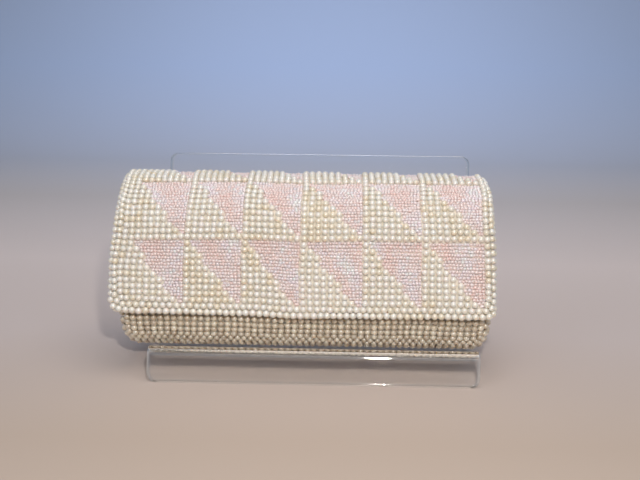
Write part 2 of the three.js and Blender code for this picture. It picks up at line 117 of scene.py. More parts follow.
def add_node(
    tree: bpy.types.NodeTree,
    kind: str,
    inputs: dict[str | int, object] | None = None,
    stops: Sequence[tuple[float, str]] = (),
    **settings: object,
) -> bpy.types.Node:
    """Adds one shader node with its settings, socket values and links.

    Args:
        tree: The material's node tree.
        kind: Blender's name for the type of node.
        inputs: For each socket by name or number, a value or the socket that feeds it.
        stops: Places and sRGB colours of a colour ramp.
        settings: Attributes of the node.

    Returns:
        The new node.
    """
    node = tree.nodes.new(kind)
    for name, value in settings.items():
        setattr(node, name, value)
    for name, value in (inputs or {}).items():
        if isinstance(value, bpy.types.NodeSocket):
            tree.links.new(value, node.inputs[name])
        else:
            node.inputs[name].default_value = value
    for i, (place, colour) in enumerate(stops):
        elements = node.color_ramp.elements
        element = elements[i] if i < len(elements) else elements.new(place)
        element.position = place
        element.color = to_linear(colour)
    return node


# Finishes


@dataclass(frozen=True)
class Finish:
    """A finish named for its real material, with the values of its surface."""

    name: str
    colour: str
    roughness: float
    ior: float = 1.5
    sockets: dict[str, object] = field(default_factory=dict)

    def make(self) -> bpy.types.Material:
        """Builds the material.

        Returns:
            A new material with this finish.
        """
        material = bpy.data.materials.new(self.name)
        material.use_nodes = True
        tree = material.node_tree
        shader = tree.nodes["Principled BSDF"]
        values = {
            "Base Color": to_linear(self.colour),
            "Roughness": self.roughness,
            "IOR": self.ior,
            **self.sockets,
        }
        for name, value in values.items():
            shader.inputs[name].default_value = value
        self.pattern(tree, shader)
        return material

    def pattern(self, tree: bpy.types.NodeTree, shader: bpy.types.Node) -> None:
        """A plain finish has no pattern."""


@dataclass(frozen=True)
class TintedFinish(Finish):
    """A finish whose colour changes from bead to bead, or along a length of paper."""

    tints: tuple[tuple[float, str], ...] = ()

    def pattern(self, tree: bpy.types.NodeTree, shader: bpy.types.Node) -> None:
        """Colours each vertex by its own share.

        Args:
            tree: The material's node tree.
            shader: Its surface shader.
        """
        share = add_node(tree, "ShaderNodeAttribute", attribute_name=SHARE).outputs["Fac"]
        ramp = add_node(tree, "ShaderNodeValToRGB", {"Fac": share}, stops=self.tints)
        tree.links.new(ramp.outputs["Color"], shader.inputs["Base Color"])


@dataclass(frozen=True)
class SatinFinish(Finish):
    """A woven fabric whose floats catch the light."""

    thread_mm: float = 0.8
    relief_mm: float = 0.12
    relief_share: float = 0.6
    unevenness: float = 0.6

    def pattern(self, tree: bpy.types.NodeTree, shader: bpy.types.Node) -> None:
        """Adds the weave as two crossed sets of threads.

        Args:
            tree: The material's node tree.
            shader: Its surface shader.
        """
        place = add_node(tree, "ShaderNodeTexCoord").outputs["Object"]
        # The real threads are about 0.15 mm apart, and are drawn coarser so that they show. The
        # wave node draws 20 radians for each unit of its scale
        scale = 2 * math.pi / (20 * self.thread_mm * MM)
        threads = {"Vector": place, "Scale": scale, "Distortion": self.unevenness, "Detail": 1.0}
        warp, weft = (
            add_node(tree, "ShaderNodeTexWave", threads, bands_direction=direction).outputs["Fac"]
            for direction in ("X", "Z")
        )
        weave = add_node(tree, "ShaderNodeMath", {0: warp, 1: weft}, operation="MULTIPLY")
        relief = {"Distance": self.relief_mm * MM, "Strength": self.relief_share}
        bump = add_node(tree, "ShaderNodeBump", {"Height": weave.outputs[0], **relief})
        tree.links.new(bump.outputs["Normal"], shader.inputs["Normal"])


@dataclass(frozen=True)
class ClearFinish(Finish):
    """A clear sheet, whose flat faces let most light straight through."""

    flat_cover: float = 0.1

    def pattern(self, tree: bpy.types.NodeTree, shader: bpy.types.Node) -> None:
        """Makes the flat faces thin to the light, and leaves the edges and bends full.

        Args:
            tree: The material's node tree.
            shader: Its surface shader.
        """
        edge = add_node(tree, "ShaderNodeAttribute", attribute_name=SHARE).outputs["Fac"]
        cover = add_node(
            tree, "ShaderNodeMapRange", {"Value": edge, "To Min": self.flat_cover, "To Max": 1.0}
        )
        tree.links.new(cover.outputs["Result"], shader.inputs["Alpha"])


# Moulded acrylic beads under a nacreous lacquer: a clear coat gives the small sharp light spot,
# a soft sheen gives the pale rim, and the tints give the ivory, cream and greyish beads. The
# darkest, browner end of the tints is painted shade, which only the pouch's pearls take
PEARL_LACQUER = TintedFinish(
    name="nacre lacquered acrylic pearl",
    colour="#d8cfc2",
    roughness=0.5,
    ior=1.53,
    sockets={
        "Coat Weight": 1.0,
        "Coat Roughness": 0.22,
        "Coat IOR": 2.5,
        "Subsurface Weight": 0.9,
        "Subsurface Radius": (0.003, 0.0026, 0.0022),
        "Subsurface Scale": 1.0,
        "Sheen Weight": 0.6,
        "Sheen Roughness": 0.3,
        "Sheen Tint": to_linear("#fff8ee"),
    },
    tints=(
        # Painted shade: only the pouch's pearls, for the shade under the flap, are tinted down to this
        # stop
        (0.0, "#bfae95"),
        (0.2, "#e6d8c0"),
        (0.4, "#eae1d2"),
        (0.7, "#ece5da"),
        (1.0, "#eee2d8"),
    ),
)

# Pressed glass seed beads with a lustre: pale pink glass, lavender and peach where it turns
LUSTRE_GLASS = TintedFinish(
    name="lustred pink seed glass",
    colour="#f0dcd9",
    roughness=0.4,
    ior=1.52,
    sockets={
        "Coat Weight": 1.0,
        "Coat Roughness": 0.26,
        "Coat IOR": 2.0,
        "Subsurface Weight": 0.9,
        "Subsurface Radius": (0.003, 0.0026, 0.0026),
        "Subsurface Scale": 1.0,
        "Sheen Weight": 0.5,
        "Sheen Roughness": 0.4,
        "Sheen Tint": to_linear("#fff4f6"),
    },
    tints=(
        (0.0, "#ffd0c8"),
        (0.3, "#ffd8d2"),
        (0.6, "#ffdedb"),
        (0.85, "#f9dfe6"),
        (1.0, "#fff2ee"),
    ),
)

# Polyester satin, woven: a soft broad sheen over a cream ground
WOVEN_SATIN = SatinFinish(
    name="woven cream satin",
    colour="#f3ebdc",
    roughness=0.55,
    sockets={"Sheen Weight": 0.4, "Sheen Roughness": 0.3},
)

# Nickel plate on a stamped snap: a grey metal, brushed soft by use
NICKEL_PLATE = Finish(
    name="nickel plated steel",
    colour="#b7b4ad",
    roughness=0.3,
    sockets={"Metallic": 1.0},
)

# Cast acrylic sheet, heat bent and flame polished: clear, with a faint cool body colour and lines
# of light along its edges and bends
CAST_ACRYLIC = ClearFinish(
    name="cast clear acrylic",
    colour="#f4f7f7",
    roughness=0.03,
    ior=1.49,
    sockets={"Transmission Weight": 1.0, "Coat Weight": 1.0, "Coat IOR": 1.7},
)

# Matt paper swept up behind the object: warm where it lies and cool where it rises, which is its
# own colour. It is lightest under and just behind the bag, painted light that lifts the bag's
# shadow on the floor, and darker in front of the bag and along the bend
PAPER_SWEEP = TintedFinish(
    name="matt paper sweep",
    colour="#d2c4be",
    roughness=0.85,
    tints=(
        (0.1, "#c0ae9f"),
        # Painted light: these two lighter stops lie under and just behind the bag, in its shadow
        (0.2, "#d2c4be"),
        (0.31, "#dacbc3"),
        (0.47, "#b8ada5"),
        (0.62, "#a7a5a8"),
        (0.8, "#9faabe"),
    ),
)


# Meshes


def new_piece(
    name: str,
    vertices: np.ndarray,
    loops: np.ndarray,
    starts: np.ndarray,
    material: bpy.types.Material,
    shares: np.ndarray | None = None,
) -> bpy.types.Object:
    """Makes one smooth mesh object at the origin.

    Args:
        name: The piece's name.
        vertices: Points in metres, in the row frame.
        loops: Vertex numbers of all faces, one face after another.
        starts: Where each face starts in loops.
        material: What it is made of.
        shares: A value from 0 to 1 for each vertex, which the finish reads.

    Returns:
        The object, linked to the scene.
    """
    mesh = bpy.data.meshes.new(name)
    mesh.vertices.add(len(vertices))
    mesh.vertices.foreach_set("co", np.ascontiguousarray(vertices, dtype=np.float32).ravel())
    mesh.loops.add(len(loops))
    mesh.loops.foreach_set("vertex_index", loops.astype(np.int32))
    mesh.polygons.add(len(starts))
    mesh.polygons.foreach_set("loop_start", starts.astype(np.int32))
    mesh.update(calc_edges=True)
    mesh.validate()
    mesh.shade_smooth()
    if shares is not None:
        layer = mesh.attributes.new(SHARE, "FLOAT", "POINT")
        layer.data.foreach_set("value", shares.astype(np.float32))
    mesh.materials.append(material)
    piece = bpy.data.objects.new(name, mesh)
    bpy.context.scene.collection.objects.link(piece)
    return piece


def settle(piece: bpy.types.Object, slot: Slot, *nodes: str) -> bpy.types.Object:
    """Ties a finished piece to the frame.

    Args:
        piece: The object.
        slot: The record's slot for its finish. It is not used.
        nodes: The solids that it stands for.

    Returns:
        The same object.
    """
    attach(piece, BODY)
    if nodes:
        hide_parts(*nodes)
    LOG.info("%s: %d faces", piece.name, len(piece.data.polygons))
    return piece


@dataclass(frozen=True)
class TurnedShape:
    """A bead as rings around an axis, with a point at each end.

    Attributes:
        sides: Corners of each ring.
        rings: For each ring from one end to the other, its place along the axis and its
            girth, in shares of the bead's radius.
        tips: Places of the two end points along the axis.
    """

    sides: int
    rings: tuple[tuple[float, float], ...]
    tips: tuple[float, float]

    @classmethod
    def ball(cls, sides: int, angles: Iterable[float]) -> "TurnedShape":
        """Makes a ball with rings at the given angles from its top.

        Args:
            sides: Corners of each ring.
            angles: Degrees from the top, in rising order.

        Returns:
            The shape.
        """
        turned = [math.radians(angle) for angle in angles]
        rings = tuple((math.cos(angle), math.sin(angle)) for angle in turned)
        return cls(sides, rings, (1.0, -1.0))

    @cached_property
    def points(self) -> np.ndarray:
        """The shape's points, the two tips last."""
        turns = np.arange(self.sides) * (2 * math.pi / self.sides)
        around = np.stack([np.cos(turns), np.sin(turns)], axis=1)
        rings = [
            np.column_stack([around * girth, np.full(self.sides, along)])
            for along, girth in self.rings
        ]
        tips = [[0.0, 0.0, tip] for tip in self.tips]
        return np.vstack([*rings, tips])

    @cached_property
    def faces(self) -> list[list[int]]:
        """Vertex numbers of the faces, seen from outside in turning order."""
        count = self.sides
        first_tip = len(self.rings) * count
        last_ring = first_tip - count
        faces = []
        for i in range(count):
            j = (i + 1) % count
            faces.append([first_tip, i, j])
            faces.append([first_tip + 1, last_ring + j, last_ring + i])
            for ring in range(len(self.rings) - 1):
                upper = ring * count
                lower = upper + count
                faces.append([upper + i, lower + i, lower + j, upper + j])
        return faces


FINE_BALL = TurnedShape.ball(14, (20, 40, 60, 81, 104, 135))
MIDDLE_BALL = TurnedShape.ball(12, (26, 52, 80, 112, 145))
COARSE_BALL = TurnedShape.ball(8, (40, 80, 125))
SEED_BARREL = TurnedShape(
    sides=8,
    rings=((0.72, 0.62), (0.45, 0.97), (-0.45, 0.97), (-0.72, 0.62)),
    tips=(0.66, -0.66),
)


@dataclass
class BeadField:
    """Beads of one kind, gathered and then built as one mesh."""

    shape: TurnedShape
    centres: list[np.ndarray] = field(default_factory=list)
    axes: list[np.ndarray] = field(default_factory=list)
    radii: list[np.ndarray] = field(default_factory=list)
    tints: list[np.ndarray] = field(default_factory=list)
    stretches: list[np.ndarray] = field(default_factory=list)

    def add(
        self,
        centres: np.ndarray,
        axes: np.ndarray,
        radii: np.ndarray,
        tints: np.ndarray,
        stretches: np.ndarray | float = 1.0,
    ) -> None:
        """Adds beads.

        Args:
            centres: Their centres in the panel frame, in millimetres.
            axes: Unit vectors along their axes.
            radii: Their radii.
            tints: Their colour shifts from 0 to 1.
            stretches: Their lengths against the shape's own length.
        """
        self.stretches.append(np.broadcast_to(stretches, radii.shape))
        self.centres.append(centres)
        self.axes.append(axes)
        self.radii.append(radii)
        self.tints.append(tints)

    def build(
        self, name: str, panel: "PanelFrame", material: bpy.types.Material
    ) -> bpy.types.Object:
        """Builds the field.

        Args:
            name: The piece's name.
            panel: The leaning frame that the places are given in.
            material: The beads' finish.

        Returns:
            One object with every bead.
        """
        centres, axes = np.vstack(self.centres), np.vstack(self.axes)
        radii, tints = np.concatenate(self.radii), np.concatenate(self.tints)
        # Any direction does for the sides as long as it isn't nearly along the axis
        helper = np.where(np.abs(axes[:, :1]) < 0.7, [[1.0, 0.0, 0.0]], [[0.0, 0.0, 1.0]])
        side = np.cross(helper, axes)
        side /= np.linalg.norm(side, axis=1, keepdims=True)
        # The panel frame is mirrored against the world, so the third axis is taken the other way
        third = np.cross(side, axes)
        shape = self.shape.points
        local = (
            shape[None, :, 0, None] * side[:, None]
            + shape[None, :, 1, None] * third[:, None]
            + shape[None, :, 2, None] * (axes * np.concatenate(self.stretches)[:, None])[:, None]
        )
        points = centres[:, None] + local * radii[:, None, None]
        count = len(shape)
        single = np.concatenate(self.shape.faces)
        sizes = np.array([len(face) for face in self.shape.faces])
        offsets = np.arange(len(centres))[:, None] * count
        loops = (single[None] + offsets).ravel()
        starts = np.concatenate([[0], np.cumsum(np.tile(sizes, len(centres)))[:-1]])
        vertices = panel.world(points.reshape(-1, 3))
        return new_piece(name, vertices, loops, starts, material, np.repeat(tints, count))


# Shape of the bag


@dataclass(frozen=True)
class PanelFrame:
    """The stand's leaning frame: across to the right, forward from the back panel, and up it."""

    tilt_degrees: float = 18.3
    panel_height: float = 129.0
    sheet: float = 3.0
    gap: float = 0.3

    @property
    def lean(self) -> tuple[float, float]:
        """Cosine and sine of the tilt."""
        tilt = math.radians(self.tilt_degrees)
        return math.cos(tilt), math.sin(tilt)

    @cached_property
    def origin(self) -> tuple[float, float]:
        """World depth and height of the frame's origin, from the top of the stand's back panel."""
        cosine, sine = self.lean
        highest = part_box("display_stand")[1]
        top = self.panel_height - self.gap
        back = self.sheet + self.gap
        depth = highest[1] / MM - back * cosine - top * sine
        height = highest[2] / MM + self.gap * sine - top * cosine
        return depth, height

    def turn(self, vectors: np.ndarray) -> np.ndarray:
        """Turns vectors into world directions.

        Args:
            vectors: Rows of across, forward and up.

        Returns:
            The same vectors in the world.
        """
        cosine, sine = self.lean
        across, forward, up = np.moveaxis(np.asarray(vectors, dtype=float), -1, 0)
        return np.stack([across, up * sine - forward * cosine, forward * sine + up * cosine], -1)

    def world(self, points: np.ndarray) -> np.ndarray:
        """Takes points in millimetres to the world in metres."""
        depth, height = self.origin
        return (self.turn(points) + [0.0, depth, height]) * MM


class Outline:
    """A section line of the bag: points of depth and height, with lengths and outward normals."""

    def __init__(self, points: Iterable[Sequence[float]]) -> None:
        """Keeps the points that differ and measures the line.

        Args:
            points: Pairs of depth and height along the line.
        """
        given = np.array(list(points), dtype=float)
        steps = np.linalg.norm(np.diff(given, axis=0), axis=1)
        self.points = given[np.concatenate([[True], steps > SAME_PLACE])]
        steps = np.linalg.norm(np.diff(self.points, axis=0), axis=1)
        self.lengths = np.concatenate([[0.0], np.cumsum(steps)])
        self.length = float(self.lengths[-1])
        padded = np.vstack([self.points[:1], self.points, self.points[-1:]])
        along = padded[2:] - padded[:-2]
        along /= np.linalg.norm(along, axis=1, keepdims=True)
        self.normals = np.stack([along[:, 1], -along[:, 0]], axis=1)

    def at(self, lengths: np.ndarray) -> tuple[np.ndarray, np.ndarray]:
        """Finds places along the line.

        Args:
            lengths: Distances from its start, in millimetres.

        Returns:
            The points and their outward unit normals.
        """
        found = [
            np.stack([np.interp(lengths, self.lengths, table[:, i]) for i in (0, 1)], axis=-1)
            for table in (self.points, self.normals)
        ]
        found[1] /= np.linalg.norm(found[1], axis=-1, keepdims=True)
        return found[0], found[1]

    def inset(self, depth: float) -> "Outline":
        """The same line, moved inwards by a depth."""
        return Outline(self.points - self.normals * depth)


def corner_draw(radius: float, distance: float) -> float:
    """How far a round corner draws in at a distance from its end, and nothing beyond it."""
    return radius - math.sqrt(max(0.0, radius**2 - max(0.0, radius - distance) ** 2))


def corner_shares(fullness: float, steps: int = 48) -> tuple[np.ndarray, np.ndarray]:
    """Shares of a rounded corner's two radii along its curve.

    Args:
        fullness: 2 for an ellipse, less for a flatter curve.
        steps: How many parts the curve has.

    Returns:
        The rising share, from 0 to 1, and the falling share, from 1 to 0.
    """
    angles = np.linspace(0, math.pi / 2, steps + 1)
    power = 2 / fullness
    return np.abs(np.sin(angles)) ** power, np.abs(np.cos(angles)) ** power


@dataclass(frozen=True)
class BagShape:
    """Sizes that the flap and the pouch share, as in the solids, and their section lines."""

    pouch_length: float = 234.0
    pouch_shift: float = 1.5
    height: float = 114.0
    depth: float = 60.0
    top_draw: float = 2.8
    draw_power: float = 1.5
    hinge_height: float = 91.0
    crest_depth: float = 22.5
    shoulder_height: float = 73.0
    flap_edge_height: float = 20.5
    mouth_height: float = 93.0
    back_corner: tuple[float, float] = (15.0, 16.0)
    front_corner: tuple[float, float] = (23.5, 24.0)
    shoulder_fullness: float = 1.72
    front_corner_fullness: float = 1.85
    end_rounding: float = 12.0
    fabric: float = 2.0
    gap: float = 0.3
    pearl: float = 3.9
    line_steps: int = 96

    @property
    def flap_thickness(self) -> float:
        """Pearls and cloth of the flap together."""
        return self.pearl + self.gap + self.fabric

    @property
    def pouch_depth(self) -> float:
        """Depth of the pouch under the flap."""
        return self.depth - self.flap_thickness - self.gap

    def half_length(self, up: np.ndarray | float) -> np.ndarray:
        """Half the pouch's length, which draws in towards its crest.

        Args:
            up: Heights in the section.

        Returns:
            The half length at each height.
        """
        start = self.height / 2
        share = np.maximum(0.0, (np.asarray(up) - start) / (self.height - start))
        return self.pouch_length / 2 - self.top_draw * share**self.draw_power

    @cached_property
    def flap_line(self) -> Outline:
        """The flap's outer line from its front edge over the crest to the hinge."""
        rising, falling = corner_shares(self.shoulder_fullness)
        shoulder = np.stack(
            [
                self.crest_depth + (self.depth - self.crest_depth) * falling,
                self.shoulder_height + (self.height - self.shoulder_height) * rising,
            ],
            axis=1,
        )
        rising, falling = corner_shares(2.0)
        back = np.stack(
            [
                self.crest_depth * (1 - rising),
                self.hinge_height + (self.height - self.hinge_height) * falling,
            ],
            axis=1,
        )
        return Outline([(self.depth, self.flap_edge_height), *shoulder, *back])

    @cached_property
    def under_flap(self) -> Outline:
        """The line close under the flap."""
        lengths = np.linspace(0, self.flap_line.length, self.line_steps + 1)
        points, normals = self.flap_line.at(lengths)
        return Outline(points - normals * (self.flap_thickness + self.gap))

    @cached_property
    def pouch_line(self) -> Outline:
        """The pouch's outer line from the hinge down the back and round to the front's top."""
        rising, falling = corner_shares(2.0)
        reach, rise = self.back_corner
        back = np.stack([reach * (1 - falling), rise * (1 - rising)], axis=1)
        rising, falling = corner_shares(self.front_corner_fullness)
        reach, rise = self.front_corner
        front = np.stack([self.pouch_depth - reach * (1 - rising), rise * (1 - falling)], axis=1)
        line = self.under_flap.points
        upright = line[(line[:, 1] > rise) & (np.arange(len(line)) < self.rim)]
        return Outline([(0.0, self.hinge_height), *back, *front, *upright])

    @cached_property
    def rim(self) -> int:
        """Number of the first point under the flap above the mouth's height."""
        return int(np.argmax(self.under_flap.points[:, 1] > self.mouth_height))

    @cached_property
    def end_loop(self) -> np.ndarray:
        """The outline of the pouch's ends as one closed loop of points."""
        return np.vstack([self.pouch_line.points, self.under_flap.points[self.rim - 1 :]])


@dataclass(frozen=True)
class Waver:
    """Slow unevenness of hand-sewn rows, as a sum of seeded waves."""

    seed: int
    reach: float
    wavelength: float
    waves: int = 6
    wavelength_spread: tuple[float, float] = (0.6, 1.8)

    def at(self, across: np.ndarray, up: np.ndarray) -> np.ndarray:
        """The waver at places on the flat fabric.

        Args:
            across: Places across, in millimetres.
            up: Places up.

        Returns:
            The offset at each place. It is the same for the same place each time.
        """
        rng = np.random.default_rng(self.seed)
        total = np.zeros_like(np.asarray(across, dtype=float) + up)
        for _ in range(self.waves):
            turn, phase = rng.uniform(0, 2 * math.pi, 2)
            step = 2 * math.pi / (self.wavelength * rng.uniform(*self.wavelength_spread))
            total += np.sin(step * (across * math.cos(turn) + up * math.sin(turn)) + phase)
        return self.reach * total / math.sqrt(self.waves)


# Sub-assemblies


@dataclass(frozen=True)
class FlapEnd:
    """One end of the flap, where it rolls back over the pouch.

    Attributes:
        side: -1 for the left end, 1 for the right.
        chart: Where the squares of the pattern end, from the flap's middle.
        columns: Where the border's columns of pearls are on the flat flap, from inside out.
        roll: Radius of the rolled edge.
        halves: Heights in the section, and half the flap's length at each.
    """

    side: int
    chart: float
    columns: tuple[float, float, float]
    roll: float
    halves: tuple[tuple[float, float], ...]

    def half(self, up: np.ndarray) -> np.ndarray:
        """Half the flap's length at heights of the section."""
        heights, halves = np.array(self.halves).T
        return np.interp(up, heights, halves)

    @property
    def widest(self) -> float:
        """The flap's greatest half length."""
        return max(half for _, half in self.halves)


@dataclass(frozen=True)
class BeadedFlap:
    """The flap: pearls in rows, windows of seed beads, an edge string and the satin behind.

    Attributes:
        squares: Squares of the pattern across the flap, with square_pearls in a row of each.
        band_names: The bands of squares up the flap, with band_rows in each and back_rows
            between the last one and the hinge.
        triangle_pearls: Pearls in each row of a square to the left of its window of seed beads.
        square_edges: Where the squares meet on the flat flap.
        row_knots: Rows whose height was measured, with row_shifts for how far each lies from
            even spacing.
        sag_places: Where the upper rows dip or rise by upper_sags, within the heights sag_span.
        corner_radii: Rounding of the border's rows at the lower corners, from inside out.
        draw_share: Part of the flap's narrowing that its squares take, the border takes the rest.
        crest_span: Heights between which the pearls' size goes from swell's first share to its
            second.
        puff: How far the satin rises between the beads.
        edge_line: Shares of half the flap's length, and of edge_sag, along the lower edge.
        stray: How far a bead's place strays, with size_spread and tint_spread for its looks.
        heave: How the strings of seed beads ride over each other, stretched by heave_stretch.
        pearl_seed: Start of the pearls' random draws, and string_seed of the seed beads'.
    """

    shape: BagShape
    panel: PanelFrame
    squares: int = 6
    square_pearls: int = 9
    band_rows: int = 11
    back_rows: int = 4
    triangle_pearls: tuple[int, ...] = (8, 7, 6, 6, 5, 4, 3, 3, 2, 1)
    left: FlapEnd = FlapEnd(
        side=-1,
        chart=109.4,
        columns=(111.4, 115.2, 119.1),
        roll=5.2,
        halves=(
            (30, 119.9),
            (50, 120.1),
            (65, 119.0),
            (75, 118.1),
            (85, 117.4),
            (98, 117.0),
            (114, 117.4),
        ),
    )
    right: FlapEnd = FlapEnd(
        side=1,
        chart=112.2,
        columns=(113.9, 117.9, 121.9),
        roll=7.7,
        halves=(
            (30, 120.5),
            (58, 120.4),
            (66, 120.0),
            (75, 119.3),
            (100, 119.1),
            (106, 118.4),
            (114, 117.5),
        ),
    )
    square_edges: tuple[float, ...] = (-109.4, -73.3, -37.6, -1.0, 37.3, 74.0, 112.2)
    row_knots: tuple[float, ...] = (0, 1, 5, 8, 11, 13, 16, 18, 22)
    row_shifts: tuple[float, ...] = (-0.7, -0.9, -1.8, -2.2, -2.1, -2.4, -1.55, -1.0, 0)
    sag_places: tuple[float, ...] = (-108, -71, -35, 3, 42, 80)
    upper_sags: tuple[float, ...] = (1.3, 0, -0.8, 0.9, -0.8, -0.9)
    sag_span: tuple[float, ...] = (36, 50, 92, 105)
    corner_radii: tuple[float, ...] = (3.0, 5.5, 8.0)
    corner_steps: int = 8
    bead_step: float = 4.08
    edge_scale: float = 1.04
    pearl_seed: int = 21
    string_seed: int = 31
    corner_tuck: float = 0.9
    draw_share: float = 0.8
    band_names: tuple[str, ...] = ("lower", "middle", "crest")
    seed_height: float = 2.25
    seed_step: float = 1.9
    seed_depth: float = 2.75
    seed_strings: tuple[float, ...] = (-0.25, 0.25)
    seed_start: float = 0.02
    seed_margin: float = 0.1
    seed_spread: float = 0.25
    seed_stray: float = 0.1
    seed_draws: int = 40
    seed_span: float = 1.5
    seed_twist: float = 0.16
    seed_size_spread: float = 0.05
    seed_tint: float = 0.42
    heave_stretch: tuple[float, float] = (1.3, 3.0)
    satin_beyond: float = 0.8
    satin_short: float = 0.2
    satin_grid: tuple[int, int] = (121, 97)
    stray: float = 0.11
    lift_share: float = 0.6
    size_spread: float = 0.018
    tint_middle: float = 0.5
    tint_spread: float = 0.2
    dullest: float = 0.2
    puff: float = 0.9
    crest_span: tuple[float, float] = (84.0, 100.0)
    swell: tuple[float, float] = (1.045, 0.985)
    edge_sag: float = 2.4
    edge_sag_reach: float = 48.0
    edge_line: tuple[tuple[float, float], ...] = (
        (-1.0, -0.3),
        (-0.95, 0.55),
        (-0.9, 0.7),
        (-0.75, 0.7),
        (-0.6, 0.5),
        (-0.3, 0.55),
        (-0.19, 0.78),
        (-0.07, 1.4),
        (0.09, 1.35),
        (0.25, 1.0),
        (0.43, 0.75),
        (0.61, 0.65),
        (0.77, 0.78),
        (0.9, 0.95),
        (0.96, 0.8),
        (1.0, 0.2),
    )
    row_waver: Waver = Waver(seed=11, reach=0.34, wavelength=70.0)
    column_waver: Waver = Waver(seed=12, reach=0.45, wavelength=46.0)
    lift_waver: Waver = Waver(seed=13, reach=0.11, wavelength=24.0)
    tint_waver: Waver = Waver(seed=14, reach=0.16, wavelength=60.0)
    patches: Waver = Waver(seed=32, reach=0.3, wavelength=22.0)
    heave: Waver = Waver(seed=33, reach=0.22, wavelength=9.0)

    @property
    def bands(self) -> int:
        """Number of bands of squares up the flap."""
        return len(self.band_names)

    @property
    def first_row(self) -> float:
        """Where the rows start above the edge string."""
        return self.shape.pearl + self.shape.gap

    @property
    def row_pitch(self) -> float:
        """Distance between rows of pearls."""
        rows = self.bands * self.band_rows + self.back_rows
        return (self.shape.flap_line.length - self.first_row) / rows

    def row_up(self, row: float) -> float:
        """How far up the flap the middle of a row is."""
        shift = float(np.interp(row, self.row_knots, self.row_shifts))
        return self.first_row + (row + 0.5) * self.row_pitch + shift

    def column_across(self, square: int, pearls: float) -> float:
        """Where on the flat flap a number of pearls from a square's left edge ends."""
        low, high = self.square_edges[square : square + 2]
        return low + (high - low) * pearls / self.square_pearls

    def edge_drop(self, share: np.ndarray, up: np.ndarray) -> np.ndarray:
        """How far the flap's uneven lower edge pulls the rows down.

        Args:
            share: Places across in shares of half the flap's length.
            up: Places up from the edge.

        Returns:
            The drop at each place.
        """
        along, drop = np.array(self.edge_line).T
        fade = np.maximum(0.0, 1 - up / self.edge_sag_reach)
        return self.edge_sag * np.interp(share, along, drop) * fade

    def place(
        self, across: np.ndarray, up: np.ndarray, depth: np.ndarray | float
    ) -> tuple[np.ndarray, np.ndarray]:
        """Takes places on the flat flap to the panel frame.

        Args:
            across: Places across the flat flap, in millimetres from its middle.
            up: Places up from the edge, over the crest.
            depth: Distances under the outer surface.

        Returns:
            Points and outward unit normals.
        """
        across, up, depth = np.broadcast_arrays(*np.atleast_1d(across, up, depth))
        sag = np.interp(across, self.sag_places, self.upper_sags)
        up = up - sag * np.interp(up, self.sag_span, (0, 1, 1, 0))
        point, normal = self.shape.flap_line.at(up)
        points, normals = np.zeros((len(across), 3)), np.zeros((len(across), 3))
        for end in (self.left, self.right):
            here = (across < 0) if end.side < 0 else (across >= 0)
            reach, under = np.abs(across[here]), depth[here]
            half = end.half(point[here, 1])
            draw = end.widest - half
            outer = end.columns[EDGE_RING]
            inner = np.minimum(reach, end.chart) * (1 - self.draw_share * draw / end.chart)
            share = np.maximum(0.0, reach - end.chart) / (outer - end.chart)
            arc = inner + share * (outer - end.chart - (1 - self.draw_share) * draw)
            flat = half - end.roll
            turned = np.maximum(0.0, arc - flat) / (end.roll - self.shape.pearl / 2)
            over = np.minimum(arc, flat) + (end.roll - under) * np.sin(turned)
            inset = end.roll - (end.roll - under) * np.cos(turned)
            section = point[here] - normal[here] * inset[:, None]
            drop = self.edge_drop(end.side * over / end.widest, up[here])
            points[here] = np.column_stack([end.side * over, section[:, 0], section[:, 1] - drop])
            normals[here] = np.column_stack(
                [end.side * np.sin(turned), normal[here] * np.cos(turned)[:, None]]
            )
        return points, normals

    def sew(
        self,
        beads: BeadField,
        across: np.ndarray,
        up: np.ndarray,
        rng: np.random.Generator,
        scale: float = 1.0,
    ) -> None:
        """Sews pearls at places on the flat flap, a little unevenly.

        Args:
            beads: The field that they join.
            across: Places across.
            up: Places up.
            rng: Source of the small unevenness.
            scale: Size against the usual pearl.
        """
        count = len(across)
        radius = self.shape.pearl / 2
        uneven = rng.normal(0, self.stray, (3, count))
        across = across + self.column_waver.at(across, up) + uneven[0]
        lift = self.lift_waver.at(across, up) + self.lift_share * uneven[2]
        sewn_up = up + self.row_waver.at(across, up) + uneven[1]
        points, normals = self.place(across, sewn_up, radius - lift)
        swell = np.interp(up, self.crest_span, self.swell)
        radii = radius * scale * (swell + rng.normal(0, self.size_spread, count))
        tints = self.tint_middle + self.tint_waver.at(points[:, 0], points[:, 2])
        tints += rng.normal(0, self.tint_spread, count)
        beads.add(points, normals, radii, np.clip(tints, self.dullest, 1))

    def ring(self, number: int, spacing: float) -> tuple[np.ndarray, np.ndarray]:
        """Places of the pearls that run down one side, round the corner and along the edge.

        Args:
            number: EDGE_RING for the edge string, INNER_RING for the row inside it.
            spacing: Distance between pearls.

        Returns:
            Places across and up of the ring's pearls.
        """
        low = self.shape.pearl / 2 if number == EDGE_RING else self.row_up(0)
        radius = self.corner_radii[number]
        top = self.shape.flap_line.length - self.shape.pearl / 2
        turns = np.linspace(0, math.pi / 2, self.corner_steps + 1)
        sides = []
        for end in (self.left, self.right):
            reach = end.columns[number]
            curve = np.stack(
                [radius * (1 - np.cos(turns)) - reach, low + radius * (1 - np.sin(turns))], axis=1
            )
            sides.append(np.vstack([[-reach, top], curve]) * [-end.side, 1])
        line = Outline(np.vstack([sides[0], sides[1][::-1]]))
        count = round(line.length / spacing)
        points, _ = line.at(np.linspace(0, line.length, count))
        return points[:, 0], points[:, 1]

